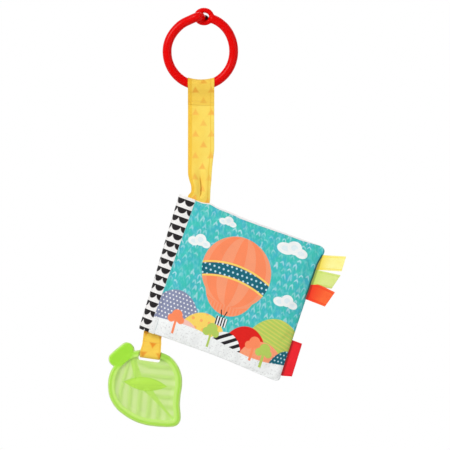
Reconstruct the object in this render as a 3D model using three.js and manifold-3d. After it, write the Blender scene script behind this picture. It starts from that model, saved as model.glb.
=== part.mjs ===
// A hanging baby activity book: a snap ring, a printed ribbon strap, a padded cloth book of three
// leaves with ribbon tabs on its free edge, and a leaf-shaped teether on a short ribbon loop.
// Millimetres, +Z up, hanging as it hangs from a pushchair bar. The origin is the inside of the
// ring's top, where the bar bears. The book faces -Y.
import * as THREE from "three";
import { mergeVertices } from "three/addons/utils/BufferGeometryUtils.js";
import Module from "manifold-3d";

const wasm = await Module();
wasm.setup();

// Driving sizes
const RUNNING_GAP = 0.35; // between pieces that only touch
const FOLD_GAP = 0.6; // between two doubled lengths of ribbon that fold against each other

const RING = {
  wireRadius: 3.7,
  meanRadius: 31.9,
  eyeRadius: 6.5, // middle of the eye's own small ring
  eyeWireRadius: 2.25,
  eyeAngle: 6, // degrees clockwise from the top
  eyeOffset: 1.5, // how far the eye's centre stands outside the wire's middle
  armStartAngle: 20.5, // where the wire grows out of the eye
  hookStartAngle: 338, // where the wire leaves the circle to become the hook
  hookTipRadius: 2.1,
  hookReach: 2.2, // how far the hook's tip stands out behind the eye
  sides: 12,
  steps: 60,
};

const RIBBON = { thickness: 0.9, strapWidth: 24.8, loopWidth: 19 };

const STRAP = {
  stitchDrop: 15.4, // from the wire's lowest point to the stitch line
  splitDrop: 6.2, // from the wire's lowest point to where the two layers meet
  foldDip: 1.2, // sag of the top fold between the wire's rising sides
  seamX: -1.2, // where the strap's end meets the book, beside the ring's middle
  seamDrop: 106.7, // and below the ring's lowest point
  seamWidth: 19.4,
  waistWidth: 17.3, // narrowest part, where the pleat gathers it
  waistShift: 1.1,
  waistFrom: 41.1, // where it starts to narrow, below the stitch line
  waistAt: 8.2, // where it is narrowest, above the book's seam
  pleatDepth: 1.9,
};

const BOOK = {
  height: 133.2,
  spineWidth: 15.3,
  coverWidth: 128.4,
  tilt: 17.2, // degrees, the spine from upright, as the book hangs
  skew: 2.9, // degrees, how far the hung cloth has slipped out of square
  flare: 1.6, // how much further the free edge reaches at the top, and less at the bottom
  cornerRadius: 6,
  drawIn: 0.7, // how far a free side pulls in between its corners
  skin: 0.85,
  seamHalf: 1.0, // half the thickness of a sewn edge
  coverHalf: 3.25, // half the thickness of a padded cover at its crown
  pageSkin: 0.6,
  pageSeamHalf: 0.75,
  pageHalf: 1.6,
  crownReach: 24, // how far in from a free side the crown is full
  spineReach: 9, // and from the fold along the spine
  leafGap: 0.5,
  battingInset: 6,
  filmInset: 9,
  filmThickness: 0.15,
  rootInset: 2.4, // how far the page's sewn root stops short of the spine's back
  strapInset: 18.6, // middle of the strap's seam, from the spine's edge
  loopInset: 14.3, // middle of the lower loop's seam, from the spine's edge
  cells: 12,
};

const SPINE = {
  wall: 0.9,
  setBack: 0.5, // the binding's face lies this far under the covers' outer faces
  roundLength: 7, // how much of the spine's width is rounded
};

const TAB = { width: 14.4, layer: 0.55, gap: 0.8, length: 20.6, spacing: 0.6, topInset: 8 };
const LABEL = { length: 33.6, reach: 9, bottomInset: 6.2 };
LABEL.topInset = BOOK.height - LABEL.bottomInset - LABEL.length;

const LOOP = {
  length: 18.3, // from the seam to the middle of the teether's bar
  lean: 8, // degrees, the lower loop from upright
};

const LEAF = {
  width: 71.2,
  stemWidth: 27.6,
  stemHeight: 14.4,
  stemCorner: 6.9,
  thickness: 7.8,
  edgeRound: 2.4,
  rimWidth: 6.1,
  membrane: 2.6,
  barRadius: 3.4, // the round bar between the slot and the outside, which the loop goes round
  barInset: 3.5, // the bar's middle from the outline
  slotHeight: 3.6,
  slotWidth: 20.4,
  slotCorner: 1.6,
  ribRadius: 2.9,
  ribEnd: 1.7,
  ribFlat: 0.85, // height of the ribs and veins over their width
  veinRadius: 2.25,
  veinPairs: 5,
  veinAngle: 45, // degrees from the midrib
  veinSpacing: 9.4,
  padLength: 42,
  padWidth: 12.4,
  padHalf: 2.8,
  padTurn: 46.7, // degrees, the pad from across the leaf
  tipAngle: 40, // degrees, the midrib from straight down
  outlinePoints: 76,
};

const degrees = THREE.MathUtils.degToRad;
const lerp = THREE.MathUtils.lerp;
const clamp = THREE.MathUtils.clamp;
const smooth = (t) => THREE.MathUtils.smoothstep(t, 0, 1);

const material = (color, roughness) =>
  new THREE.MeshStandardMaterial({ color, roughness, metalness: 0 });
const MATERIALS = {
  red: material(0xe3080a, 0.3),
  strap: material(0xf8d75c, 0.85),
  turquoise: material(0x5bc4c3, 0.85),
  lining: material(0xf4f2ee, 0.9),
  page: material(0xf3e7a2, 0.9),
  batting: material(0xfafafa, 1),
  film: material(0xdfe6ea, 0.4),
  spine: material(0x2a2628, 0.85),
  yellow: material(0xfff89c, 0.7),
  green: material(0xdeeb8a, 0.7),
  orange: material(0xfe692e, 0.6),
  label: material(0xd8121f, 0.6),
  teether: material(0xb8e25c, 0.45),
};

function mesh(name, geometry, finish) {
  const made = new THREE.Mesh(geometry, MATERIALS[finish]);
  made.name = name;
  return made;
}

function group(name, ...children) {
  const made = new THREE.Group();
  made.name = name;
  made.add(...children);
  return made;
}

// Closed geometry from points and triangles, turned outwards if it came out inside out
function closedGeometry(points, triangles) {
  const volume = triangles.reduce((sum, [a, b, c]) => {
    return sum + points[a].dot(new THREE.Vector3().crossVectors(points[b], points[c]));
  }, 0);
  const faces = volume < 0 ? triangles.map(([a, b, c]) => [a, c, b]) : triangles;
  return new THREE.BufferGeometry().setFromPoints(points).setIndex(faces.flat());
}

// A tube along points with a radius at each, closed by a rounded cap at either end
function roundedTube(path, radii, sides) {
  const capSteps = 3;
  const tangents = path.map((_, i) =>
    new THREE.Vector3()
      .subVectors(path[Math.min(i + 1, path.length - 1)], path[Math.max(i - 1, 0)])
      .normalize(),
  );
  const up = new THREE.Vector3(0, 1, 0);
  const side = new THREE.Vector3().crossVectors(up, tangents[0]).normalize();
  const stations = [];
  path.forEach((centre, i) => {
    side.addScaledVector(tangents[i], -side.dot(tangents[i])).normalize();
    const other = new THREE.Vector3().crossVectors(tangents[i], side);
    stations.push({ centre, radius: radii[i], side: side.clone(), other, tangent: tangents[i] });
  });
  const cap = (station, way) =>
    Array.from({ length: capSteps }, (_, i) => {
      const angle = ((i + 1) / (capSteps + 0.6)) * (Math.PI / 2);
      const centre = station.centre
        .clone()
        .addScaledVector(station.tangent, way * station.radius * Math.sin(angle));
      return { ...station, centre, radius: station.radius * Math.cos(angle) };
    });
  const all = [
    ...cap(stations[0], -1).reverse(),
    ...stations,
    ...cap(stations[stations.length - 1], 1),
  ];
  const points = [];
  all.forEach(({ centre, radius, side: across, other }) => {
    for (let k = 0; k < sides; k++) {
      const angle = (k / sides) * 2 * Math.PI;
      points.push(
        centre
          .clone()
          .addScaledVector(across, radius * Math.cos(angle))
          .addScaledVector(other, radius * Math.sin(angle)),
      );
    }
  });
  const triangles = [];
  for (let i = 0; i < all.length - 1; i++)
    for (let k = 0; k < sides; k++) {
      const [a, b] = [i * sides + k, i * sides + ((k + 1) % sides)];
      triangles.push([a, b, b + sides], [a, b + sides, a + sides]);
    }
  const last = (all.length - 1) * sides;
  for (let k = 1; k < sides - 1; k++) {
    triangles.push([0, k + 1, k], [last, last + k, last + k + 1]);
  }
  return closedGeometry(points, triangles);
}

// A thin body between two surfaces over the unit square: front(u, v) and back(u, v) give points
function sheetBody(columns, rows, front, back) {
  const points = [];
  for (const surface of [front, back])
    for (let j = 0; j <= rows; j++)
      for (let i = 0; i <= columns; i++) points.push(surface(i / columns, j / rows));
  const at = (layer, i, j) => (layer * (rows + 1) + j) * (columns + 1) + i;
  const triangles = [];
  const quad = (a, b, c, d) => triangles.push([a, b, c], [a, c, d]);
  for (let j = 0; j < rows; j++)
    for (let i = 0; i < columns; i++) {
      quad(at(0, i, j), at(0, i + 1, j), at(0, i + 1, j + 1), at(0, i, j + 1));
      quad(at(1, i, j), at(1, i, j + 1), at(1, i + 1, j + 1), at(1, i + 1, j));
    }
  for (let i = 0; i < columns; i++) {
    quad(at(0, i, 0), at(1, i, 0), at(1, i + 1, 0), at(0, i + 1, 0));
    quad(at(0, i + 1, rows), at(1, i + 1, rows), at(1, i, rows), at(0, i, rows));
  }
  for (let j = 0; j < rows; j++) {
    quad(at(0, 0, j + 1), at(1, 0, j + 1), at(1, 0, j), at(0, 0, j));
    quad(at(0, columns, j), at(1, columns, j), at(1, columns, j + 1), at(0, columns, j + 1));
  }
  return closedGeometry(points, triangles);
}

// A section drawn as (depth, height), extruded along X and centred there, then moved point by point
function ribbonBody(section, width, steps, move) {
  const geometry = new THREE.ExtrudeGeometry(section, {
    depth: width,
    steps,
    bevelEnabled: false,
    curveSegments: 8,
  });
  const { position } = geometry.attributes;
  for (let i = 0; i < position.count; i++) {
    const point = new THREE.Vector3(
      position.getZ(i) - width / 2,
      position.getX(i),
      position.getY(i),
    );
    move(point);
    position.setXYZ(i, point.x, point.y, point.z);
  }
  return facingOut(mergeVertices(bare(geometry), 1e-4));
}

function facingOut(geometry) {
  const { position } = geometry.attributes;
  const points = Array.from({ length: position.count }, (_, i) =>
    new THREE.Vector3().fromBufferAttribute(position, i),
  );
  const corners = geometry.index.array;
  const triangles = [];
  for (let i = 0; i < corners.length; i += 3) {
    triangles.push([corners[i], corners[i + 1], corners[i + 2]]);
  }
  return closedGeometry(points, triangles);
}

function bare(geometry) {
  const copy = geometry.clone();
  for (const name of Object.keys(copy.attributes)) {
    if (name !== "position") copy.deleteAttribute(name);
  }
  return copy;
}

function solid(geometry, matrix = new THREE.Matrix4()) {
  const merged = mergeVertices(bare(geometry).applyMatrix4(matrix), 1e-4);
  return new wasm.Manifold(
    new wasm.Mesh({
      numProp: 3,
      vertProperties: new Float32Array(merged.attributes.position.array),
      triVerts: new Uint32Array(merged.index.array),
    }),
  );
}

function geometryOf(made) {
  const { vertProperties, triVerts } = made.getMesh();
  return new THREE.BufferGeometry()
    .setAttribute("position", new THREE.BufferAttribute(new Float32Array(vertProperties), 3))
    .setIndex(new THREE.BufferAttribute(new Uint32Array(triVerts), 1));
}

// The ring: a wire that grows out of an eye, goes round and comes back as a hook through the eye
const ringInner = RING.meanRadius - RING.wireRadius;
const ringCentre = -ringInner;
const ringLowest = ringCentre - RING.meanRadius - RING.wireRadius;

function onRing(angle, radius = RING.meanRadius, y = 0) {
  const turn = degrees(angle);
  return new THREE.Vector3(radius * Math.sin(turn), y, ringCentre + radius * Math.cos(turn));
}

function ringClip() {
  const eye = onRing(RING.eyeAngle, RING.meanRadius + RING.eyeOffset);
  const eyeHole = RING.eyeRadius - RING.eyeWireRadius;
  const tipShift = eyeHole - RING.hookTipRadius - RUNNING_GAP; // the tip bears on the hole's side
  const over = RING.eyeWireRadius + RING.wireRadius - RUNNING_GAP; // how far forward the hook rides
  const beside = (x, y, drop) => new THREE.Vector3(eye.x + x, y, eye.z + drop);
  const arm = [];
  for (let i = 0; i <= RING.steps; i++) {
    arm.push(onRing(lerp(RING.armStartAngle, RING.hookStartAngle, i / RING.steps)));
  }
  const hook = new THREE.CatmullRomCurve3([
    arm[arm.length - 2],
    arm[arm.length - 1],
    beside(-RING.eyeRadius - 4.6, -over * 0.62, -1.3),
    beside(-RING.eyeRadius - 0.4, -over, -0.3),
    beside(-2.6 - tipShift, -over * 0.76, 0),
    beside(-tipShift, -over * 0.25, 0),
    beside(-tipShift, RING.hookReach, 0),
  ]).getSpacedPoints(18);
  const path = [...arm.slice(0, -2), ...hook];
  const radii = path.map((_, i) => {
    const grown = smooth((i + 0.7) / 1.7);
    const along = clamp((i - arm.length - 3) / 9, 0, 1);
    const armRadius = lerp(RING.eyeWireRadius, RING.wireRadius, grown);
    return lerp(armRadius, RING.hookTipRadius, smooth(along));
  });
  const torus = new THREE.TorusGeometry(RING.eyeRadius, RING.eyeWireRadius, 10, 28);
  const place = new THREE.Matrix4()
    .makeTranslation(eye.x, eye.y, eye.z)
    .multiply(new THREE.Matrix4().makeRotationX(Math.PI / 2));
  const whole = solid(roundedTube(path, radii, RING.sides)).add(solid(torus, place));
  return mesh("ring_clip", geometryOf(whole), "red");
}

// A ribbon folded round something: a rounded eye at one end, two layers laid together at the other
function foldedSection({ eyeHalf, eyeTop, eyeBottom, split, end, layer }) {
  const outer = eyeHalf + layer;
  const shape = new THREE.Shape();
  shape.moveTo(outer, eyeTop);
  shape.absarc(0, eyeTop, outer, 0, Math.PI, false);
  shape.lineTo(-outer, eyeBottom);
  shape.lineTo(-layer, split - layer);
  shape.lineTo(-layer, end + layer);
  shape.absarc(0, end + layer, layer, Math.PI, 2 * Math.PI, false);
  shape.lineTo(layer, split - layer);
  shape.lineTo(outer, eyeBottom);
  const hole = new THREE.Path();
  hole.moveTo(eyeHalf, eyeTop);
  hole.absarc(0, eyeTop, eyeHalf, 0, Math.PI, false);
  hole.lineTo(-eyeHalf, eyeBottom);
  hole.lineTo(0, split);
  hole.lineTo(eyeHalf, eyeBottom);
  shape.holes.push(hole);
  return shape;
}

// The strap's upper end, folded over the ring's wire and stitched to itself
const strapStitch = ringLowest - STRAP.stitchDrop;
function strapLoop() {
  const half = RIBBON.strapWidth / 2;
  const eyeHalf = RING.wireRadius + 0.5;
  const wireRise = RING.meanRadius - Math.sqrt(RING.meanRadius ** 2 - half ** 2);
  const wireTop = ringLowest + 2 * RING.wireRadius + wireRise;
  const section = foldedSection({
    eyeHalf,
    eyeTop: wireTop + 2 * RUNNING_GAP - eyeHalf,
    eyeBottom: ringLowest + 0.75 * RING.wireRadius,
    split: ringLowest - STRAP.splitDrop,
    end: strapStitch + FOLD_GAP / 2,
    layer: RIBBON.thickness,
  });
  const sag = (point) => {
    const inside = smooth((point.z - ringLowest) / (2 * RING.wireRadius));
    point.z -= STRAP.foldDip * inside * (1 - (point.x / half) ** 2);
  };
  return mesh("strap_loop", ribbonBody(section, RIBBON.strapWidth, 6, sag), "strap");
}

// The strap's lower length, gathered by a pleat and turned to the slope of the book's top seam
const topSlope = Math.tan(degrees(BOOK.tilt + BOOK.skew));
const seamZ = ringLowest - STRAP.seamDrop;
function strapBand() {
  const top = strapStitch - FOLD_GAP / 2;
  const length = STRAP.seamDrop - STRAP.stitchDrop;
  const waistStart = STRAP.waistFrom / length;
  const waistEnd = 1 - STRAP.waistAt / length;
  const roundSteps = 3;
  const bodyRows = 20;
  const rows = bodyRows + 2 * roundSteps;
  const layer = RIBBON.thickness;
  const profile = (v) => {
    const row = v * rows;
    if (row < roundSteps) {
      const angle = (1 - row / roundSteps) * 1.35;
      return { along: 0, half: layer * Math.cos(angle), past: -layer * (1 + Math.sin(angle) - 1) };
    }
    if (row > rows - roundSteps) {
      const angle = ((row - rows + roundSteps) / roundSteps) * 1.35;
      return { along: 1, half: layer * Math.cos(angle), past: layer * Math.sin(angle) };
    }
    return { along: (row - roundSteps) / bodyRows, half: layer, past: 0 };
  };
  const surface = (way) => (u, v) => {
    const { along, half, past } = profile(v);
    const s = 2 * u - 1;
    const toWaist = smooth(clamp((along - waistStart) / (waistEnd - waistStart), 0, 1));
    const toSeam = smooth(clamp((along - waistEnd) / (1 - waistEnd), 0, 1));
    const waist = lerp(RIBBON.strapWidth, STRAP.waistWidth, toWaist);
    const width = lerp(waist, STRAP.seamWidth, toSeam);
    const shift = lerp(STRAP.waistShift * toWaist, STRAP.seamX, toSeam);
    const x = shift + (s * width) / 2;
    const pleat = STRAP.pleatDepth * toWaist * (1 - toSeam);
    const seam = seamZ + layer - topSlope * (x - STRAP.seamX);
    const z = lerp(top - layer, seam, along) - past;
    return new THREE.Vector3(x, pleat * Math.cos(2 * Math.PI * s) * 0.6 + way * half, z - strapStitch);
  };
  const geometry = sheetBody(10, rows, surface(-1), surface(1));
  const fold = group("strap_fold", mesh("strap_band", geometry, "strap"));
  fold.position.set(0, 0, strapStitch);
  return fold;
}

// The book's own plan: x from the spine's edge to the free edge, z up the spine from its middle
const skew = Math.tan(degrees(BOOK.skew));
const bookWidth = BOOK.spineWidth + BOOK.coverWidth;
const coverMid = BOOK.pageHalf + BOOK.leafGap + BOOK.coverHalf; // from the page's middle
const coverFace = coverMid + BOOK.coverHalf;
const planPoint = (x, y, z) => new THREE.Vector3(x, y, z - skew * x);

// How far a free side stands in from the full rectangle at height z
function freeEdge(z) {
  const past = Math.max(Math.abs(z) - (BOOK.height / 2 - BOOK.cornerRadius), 0);
  const corner = BOOK.cornerRadius - Math.sqrt(Math.max(BOOK.cornerRadius ** 2 - past ** 2, 0));
  const b = z / (BOOK.height / 2);
  return bookWidth - corner + BOOK.flare * b - BOOK.drawIn * (1 - b * b);
}

// A leaf's outline as a grid: across from x0 to the free edge, up between the drawn-in ends
function leafPlace(x0, inset, u, v) {
  const even = (t) => (1 - Math.cos(Math.PI * t)) / 2;
  const b = 2 * even(v) - 1;
  const half = BOOK.height / 2 - inset;
  const across = even(u);
  const z = b * half;
  const x = lerp(x0, freeEdge(z * (BOOK.height / 2 / half)) - inset, across);
  const bow = BOOK.drawIn * Math.sin(Math.PI * clamp((x - x0) / (bookWidth - x0), 0, 1));
  return { x, z: z - b * bow };
}

// Half the thickness of a leaf: the seam's at its edges, rising to the crown further in
function leafHalf(x, z, seamHalf, crownHalf) {
  const rise = (distance, reach) => {
    const left = 1 - clamp(distance / reach, 0, 1);
    return Math.sqrt(1 - left * left);
  };
  const ends = rise(BOOK.height / 2 - BOOK.drawIn / 2 - Math.abs(z), BOOK.crownReach);
  const free = rise(freeEdge(z) - x, BOOK.crownReach);
  const fold = rise(x - BOOK.spineWidth, BOOK.spineReach);
  return seamHalf + (crownHalf - seamHalf) * ends * free * fold;
}

// One fabric skin of a leaf, way -1 towards the front and +1 towards the back
function leafSkin({ x0, seamHalf, crownHalf, skin, way }) {
  const surface = (depth) => (u, v) => {
    const { x, z } = leafPlace(x0, 0, u, v);
    return planPoint(x, way * (leafHalf(x, z, seamHalf, crownHalf) - depth), z);
  };
  return sheetBody(BOOK.cells, BOOK.cells, surface(0), surface(skin));
}

function coverBatting() {
  const left = BOOK.skin + RUNNING_GAP;
  const surface = (way) => (u, v) => {
    const { x, z } = leafPlace(BOOK.spineWidth + BOOK.battingInset / 2, BOOK.battingInset, u, v);
    return planPoint(x, way * (leafHalf(x, z, BOOK.seamHalf, BOOK.coverHalf) - left), z);
  };
  return sheetBody(BOOK.cells, BOOK.cells, surface(-1), surface(1));
}

function crinkleFilm() {
  const surface = (way) => (u, v) => {
    const { x, z } = leafPlace(BOOK.spineWidth + BOOK.filmInset, BOOK.filmInset, u, v);
    return planPoint(x, (way * BOOK.filmThickness) / 2, z);
  };
  return sheetBody(6, 6, surface(-1), surface(1));
}

// A cover swings on the line where its outer face meets the spine's printed strip
function cover(side, finish, extras) {
  const way = side === "front" ? -1 : 1;
  const x0 = BOOK.spineWidth + RUNNING_GAP;
  const sizes = { x0, seamHalf: BOOK.seamHalf, crownHalf: BOOK.coverHalf, skin: BOOK.skin };
  const pieces = group(
    "",
    mesh(`${side}_cover_print`, leafSkin({ ...sizes, way }), finish),
    mesh(`${side}_cover_lining`, leafSkin({ ...sizes, way: -way }), "lining"),
    mesh(`${side}_cover_batting`, coverBatting(), "batting"),
    ...extras,
  );
  pieces.position.set(-BOOK.spineWidth, -way * BOOK.coverHalf, 0);
  const hinge = group(`${side}_cover_open`, pieces);
  hinge.position.set(BOOK.spineWidth, way * coverFace, 0);
  return hinge;
}

// The binding: printed cloth round the three leaves' sewn roots
const bindingHalf = coverFace - SPINE.setBack;
function spineOutline(inset, x1) {
  const half = bindingHalf - inset;
  const left = inset;
  const round = SPINE.roundLength - inset;
  const outline = [new THREE.Vector2(x1, -half)];
  const steps = 10;
  for (let i = 0; i <= steps; i++) {
    const angle = -Math.PI / 2 - (i / steps) * Math.PI;
    const x = left + round + round * Math.cos(angle);
    outline.push(new THREE.Vector2(x, half * Math.sin(angle)));
  }
  outline.push(new THREE.Vector2(x1, half));
  return outline;
}

function uprightBody(section) {
  const geometry = new THREE.ExtrudeGeometry(section, {
    depth: BOOK.height,
    steps: 1,
    bevelEnabled: false,
  });
  const { position } = geometry.attributes;
  for (let i = 0; i < position.count; i++) {
    const z = position.getZ(i) - BOOK.height / 2;
    const point = planPoint(position.getX(i), position.getY(i), z);
    position.setXYZ(i, point.x, point.y, point.z);
  }
  return mergeVertices(bare(geometry), 1e-4);
}

function spineBinding() {
  const outer = spineOutline(0, BOOK.spineWidth);
  const inner = spineOutline(SPINE.wall, BOOK.spineWidth).reverse();
  return mesh("spine_binding", uprightBody(new THREE.Shape([...outer, ...inner])), "spine");
}

// The part of a cover that is caught inside the binding, between its wall and the page's root
function coverRoot(side) {
  const way = side === "front" ? -1 : 1;
  const wallSide = spineOutline(SPINE.wall + RUNNING_GAP, BOOK.spineWidth - RUNNING_GAP);
  const inner = BOOK.pageSeamHalf + RUNNING_GAP;
  const kept = wallSide.filter((point) => point.y < -inner);
  const start = kept[kept.length - 1];
  kept.push(new THREE.Vector2(start.x, -inner));
  kept.push(new THREE.Vector2(BOOK.spineWidth - RUNNING_GAP, -inner));
  const outline = kept.map((point) => new THREE.Vector2(point.x, -way * point.y));
  return mesh(`${side}_cover_root`, uprightBody(new THREE.Shape(outline)), "lining");
}

function page() {
  const sizes = {
    x0: BOOK.rootInset,
    seamHalf: BOOK.pageSeamHalf,
    crownHalf: BOOK.pageHalf,
    skin: BOOK.pageSkin,
  };
  return [
    mesh("page_front_skin", leafSkin({ ...sizes, way: -1 }), "page"),
    mesh("page_back_skin", leafSkin({ ...sizes, way: 1 }), "page"),
    mesh("page_crinkle_film", crinkleFilm(), "film"),
  ];
}

// A ribbon tab: one ribbon folded on itself, its cut ends caught in the front cover's free seam.
// lean spreads the tabs apart like a fan, slant makes the upper corner reach further.
function tab(name, finish, { along, width, reach, lean, slant }) {
  const z = BOOK.height / 2 - along - width / 2;
  const edge = Math.max(...[-1, 0, 1].map((s) => freeEdge(z + (s * width) / 2)));
  const axisX = edge + RUNNING_GAP + TAB.layer;
  const section = foldedSection({
    eyeHalf: TAB.gap / 2,
    eyeTop: reach - TAB.gap / 2 - TAB.layer,
    eyeBottom: reach - 3,
    split: 2,
    end: -TAB.layer,
    layer: TAB.layer,
  });
  const turn = (point) => {
    const out = point.z;
    const share = clamp(out / reach, 0, 1);
    const up = point.x;
    point.set(out + (slant * share * up) / width, point.y, up + lean * out - skew * out);
  };
  const body = ribbonBody(section, width, 1, turn);
  const hinge = group(`${name}_bend`, mesh(name, body, finish));
  hinge.position.copy(planPoint(axisX, 0, z));
  return hinge;
}

function tabs() {
  const step = TAB.width + TAB.spacing;
  const looks = [
    ["yellow_tab", "yellow", { lean: 0.3, slant: 0 }],
    ["green_tab", "green", { lean: 0.14, slant: 4.5 }],
    ["orange_tab", "orange", { lean: 0.03, slant: 4.8 }],
  ];
  const made = looks.map(([name, finish, look], i) =>
    tab(name, finish, {
      along: TAB.topInset + i * step,
      width: TAB.width,
      reach: TAB.length,
      ...look,
    }),
  );
  const label = tab("side_label", "label", {
    along: LABEL.topInset,
    width: LABEL.length,
    reach: LABEL.reach,
    lean: 0,
    slant: 0,
  });
  return [...made, label];
}

// The leaf teether, in its own plane: tip down, stem up, the origin at its middle. Its points are
// drawn for a leaf as wide as this outline, and leafPoint fits them to the leaf's own width.
const LEAF_OUTLINE = [
  [-18.66, 32.27],
  [-7.78, 36.45],
  [7.78, 36.45],
  [18.47, 31.3],
  [26.24, 24.3],
  [32.66, 16.14],
  [36.55, 7.29],
  [36.55, -2.43],
  [33.44, -12.05],
  [27.41, -20.12],
  [19.83, -26.83],
  [13.02, -34.02],
  [7.58, -41.8],
  [3.11, -45.59],
  [-2.53, -45.68],
  [-8.36, -41.8],
  [-15.94, -34.8],
  [-23.33, -26.63],
  [-29.16, -17.11],
  [-33.05, -6.22],
  [-34.6, 4.86],
  [-32.27, 16.14],
  [-26.83, 24.88],
];
const leafUnit = (() => {
  const across = LEAF_OUTLINE.map(([x]) => x);
  return LEAF.width / (Math.max(...across) - Math.min(...across));
})();
const leafPoint = (x, z) => [x * leafUnit, z * leafUnit];

function leafOutline() {
  const anchors = LEAF_OUTLINE.map(([x, z]) => new THREE.Vector3(...leafPoint(x, z), 0));
  const curve = new THREE.CatmullRomCurve3(anchors, true, "centripetal");
  return curve
    .getSpacedPoints(LEAF.outlinePoints)
    .slice(0, -1)
    .map((point) => new THREE.Vector2(point.x, point.y));
}

function insetOutline(outline, distance) {
  return outline.map((point, i) => {
    const before = outline[(i - 1 + outline.length) % outline.length];
    const after = outline[(i + 1) % outline.length];
    const along = after.clone().sub(before).normalize();
    const clockwise = THREE.ShapeUtils.isClockWise(outline) ? -1 : 1;
    return point.clone().add(new THREE.Vector2(-along.y, along.x).multiplyScalar(clockwise * distance));
  });
}

// A flat moulding in the leaf's plane with rounded edges, its middle at y = 0
function plate(outline, thickness, round) {
  const geometry = new THREE.ExtrudeGeometry(new THREE.Shape(outline), {
    depth: thickness - 2 * round,
    steps: 1,
    bevelEnabled: round > 0,
    bevelThickness: round,
    bevelSize: round,
    bevelOffset: -round,
    bevelSegments: 3,
    curveSegments: 10,
  });
  geometry.translate(0, 0, round - thickness / 2);
  return geometry.rotateX(Math.PI / 2);
}

function roundedBox(cx, cz, width, height, radius, turn) {
  const shape = new THREE.Shape();
  const [w, h] = [width / 2 - radius, height / 2 - radius];
  shape.absarc(w, h, radius, 0, Math.PI / 2, false);
  shape.absarc(-w, h, radius, Math.PI / 2, Math.PI, false);
  shape.absarc(-w, -h, radius, Math.PI, 1.5 * Math.PI, false);
  shape.absarc(w, -h, radius, 1.5 * Math.PI, 2 * Math.PI, false);
  return shape
    .getPoints(5)
    .slice(0, -1)
    .map((point) => point.rotateAround(new THREE.Vector2(), turn).add(new THREE.Vector2(cx, cz)));
}

// The bar that hangs the leaf, in the leaf's plane: its direction and its middle
const barTurn = degrees(-48);
const barAlong = new THREE.Vector2(Math.cos(barTurn), Math.sin(barTurn));
const barInwards = new THREE.Vector2(Math.sin(barTurn), -Math.cos(barTurn));
const barMiddle = new THREE.Vector2(...leafPoint(25.8, 24.8)).addScaledVector(
  barInwards,
  LEAF.barInset,
);

// A straight rib whose radius changes evenly, flattened towards the leaf's plane
function rib(from, to, fromRadius, toRadius) {
  const shares = [0, 0.33, 0.67, 1];
  const tube = roundedTube(
    shares.map((t) => new THREE.Vector3(lerp(from[0], to[0], t), 0, lerp(from[1], to[1], t))),
    shares.map((t) => lerp(fromRadius, toRadius, t)),
    8,
  );
  return solid(tube.scale(1, LEAF.ribFlat, 1));
}

function isInside([x, z], outline) {
  let inside = false;
  outline.forEach((a, i) => {
    const b = outline[(i + 1) % outline.length];
    const spans = a.y > z !== b.y > z;
    if (spans && x < a.x + ((b.x - a.x) * (z - a.y)) / (b.y - a.y)) inside = !inside;
  });
  return inside;
}

// The midrib in two tapering lengths, and pairs of veins that run from it to the rim
function leafRibs(rim) {
  const { ribRadius, ribEnd, veinRadius, veinPairs, veinSpacing } = LEAF;
  const ribs = [
    rib(leafPoint(8.6, 31), leafPoint(0, 12), ribRadius, ribEnd),
    rib(leafPoint(0, 1), leafPoint(-0.4, -37.5), ribRadius, ribEnd),
  ];
  const slope = degrees(LEAF.veinAngle);
  for (let i = 0; i < veinPairs; i++) {
    const start = 21 * leafUnit - i * veinSpacing;
    const onRib = 0.45 * Math.max(start - 12 * leafUnit, 0);
    for (const side of [-1, 1]) {
      const at = (reach) => [
        onRib + side * reach * Math.sin(slope),
        start - reach * Math.cos(slope),
      ];
      let reach = 1;
      while (isInside(at(reach), rim)) reach += 1;
      ribs.push(rib(at(0), at(reach - 1), veinRadius, veinRadius - 0.25));
    }
  }
  return ribs;
}

// The raised pad across the leaf, pointed at both ends
function leafPad() {
  const spindle = [];
  const steps = 14;
  for (let i = 0; i <= steps; i++) {
    const t = (2 * i) / steps - 1;
    spindle.push(new THREE.Vector2((LEAF.padWidth / 2) * (1 - t * t), (t * LEAF.padLength) / 2));
  }
  const pad = new THREE.LatheGeometry(spindle, 16).rotateZ(-Math.PI / 2);
  pad.scale(1, LEAF.padHalf / (LEAF.padWidth / 2), 1);
  const [x, z] = leafPoint(2.1, 2.7);
  return solid(pad.rotateY(degrees(LEAF.padTurn)).translate(x, 0, z));
}

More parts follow.
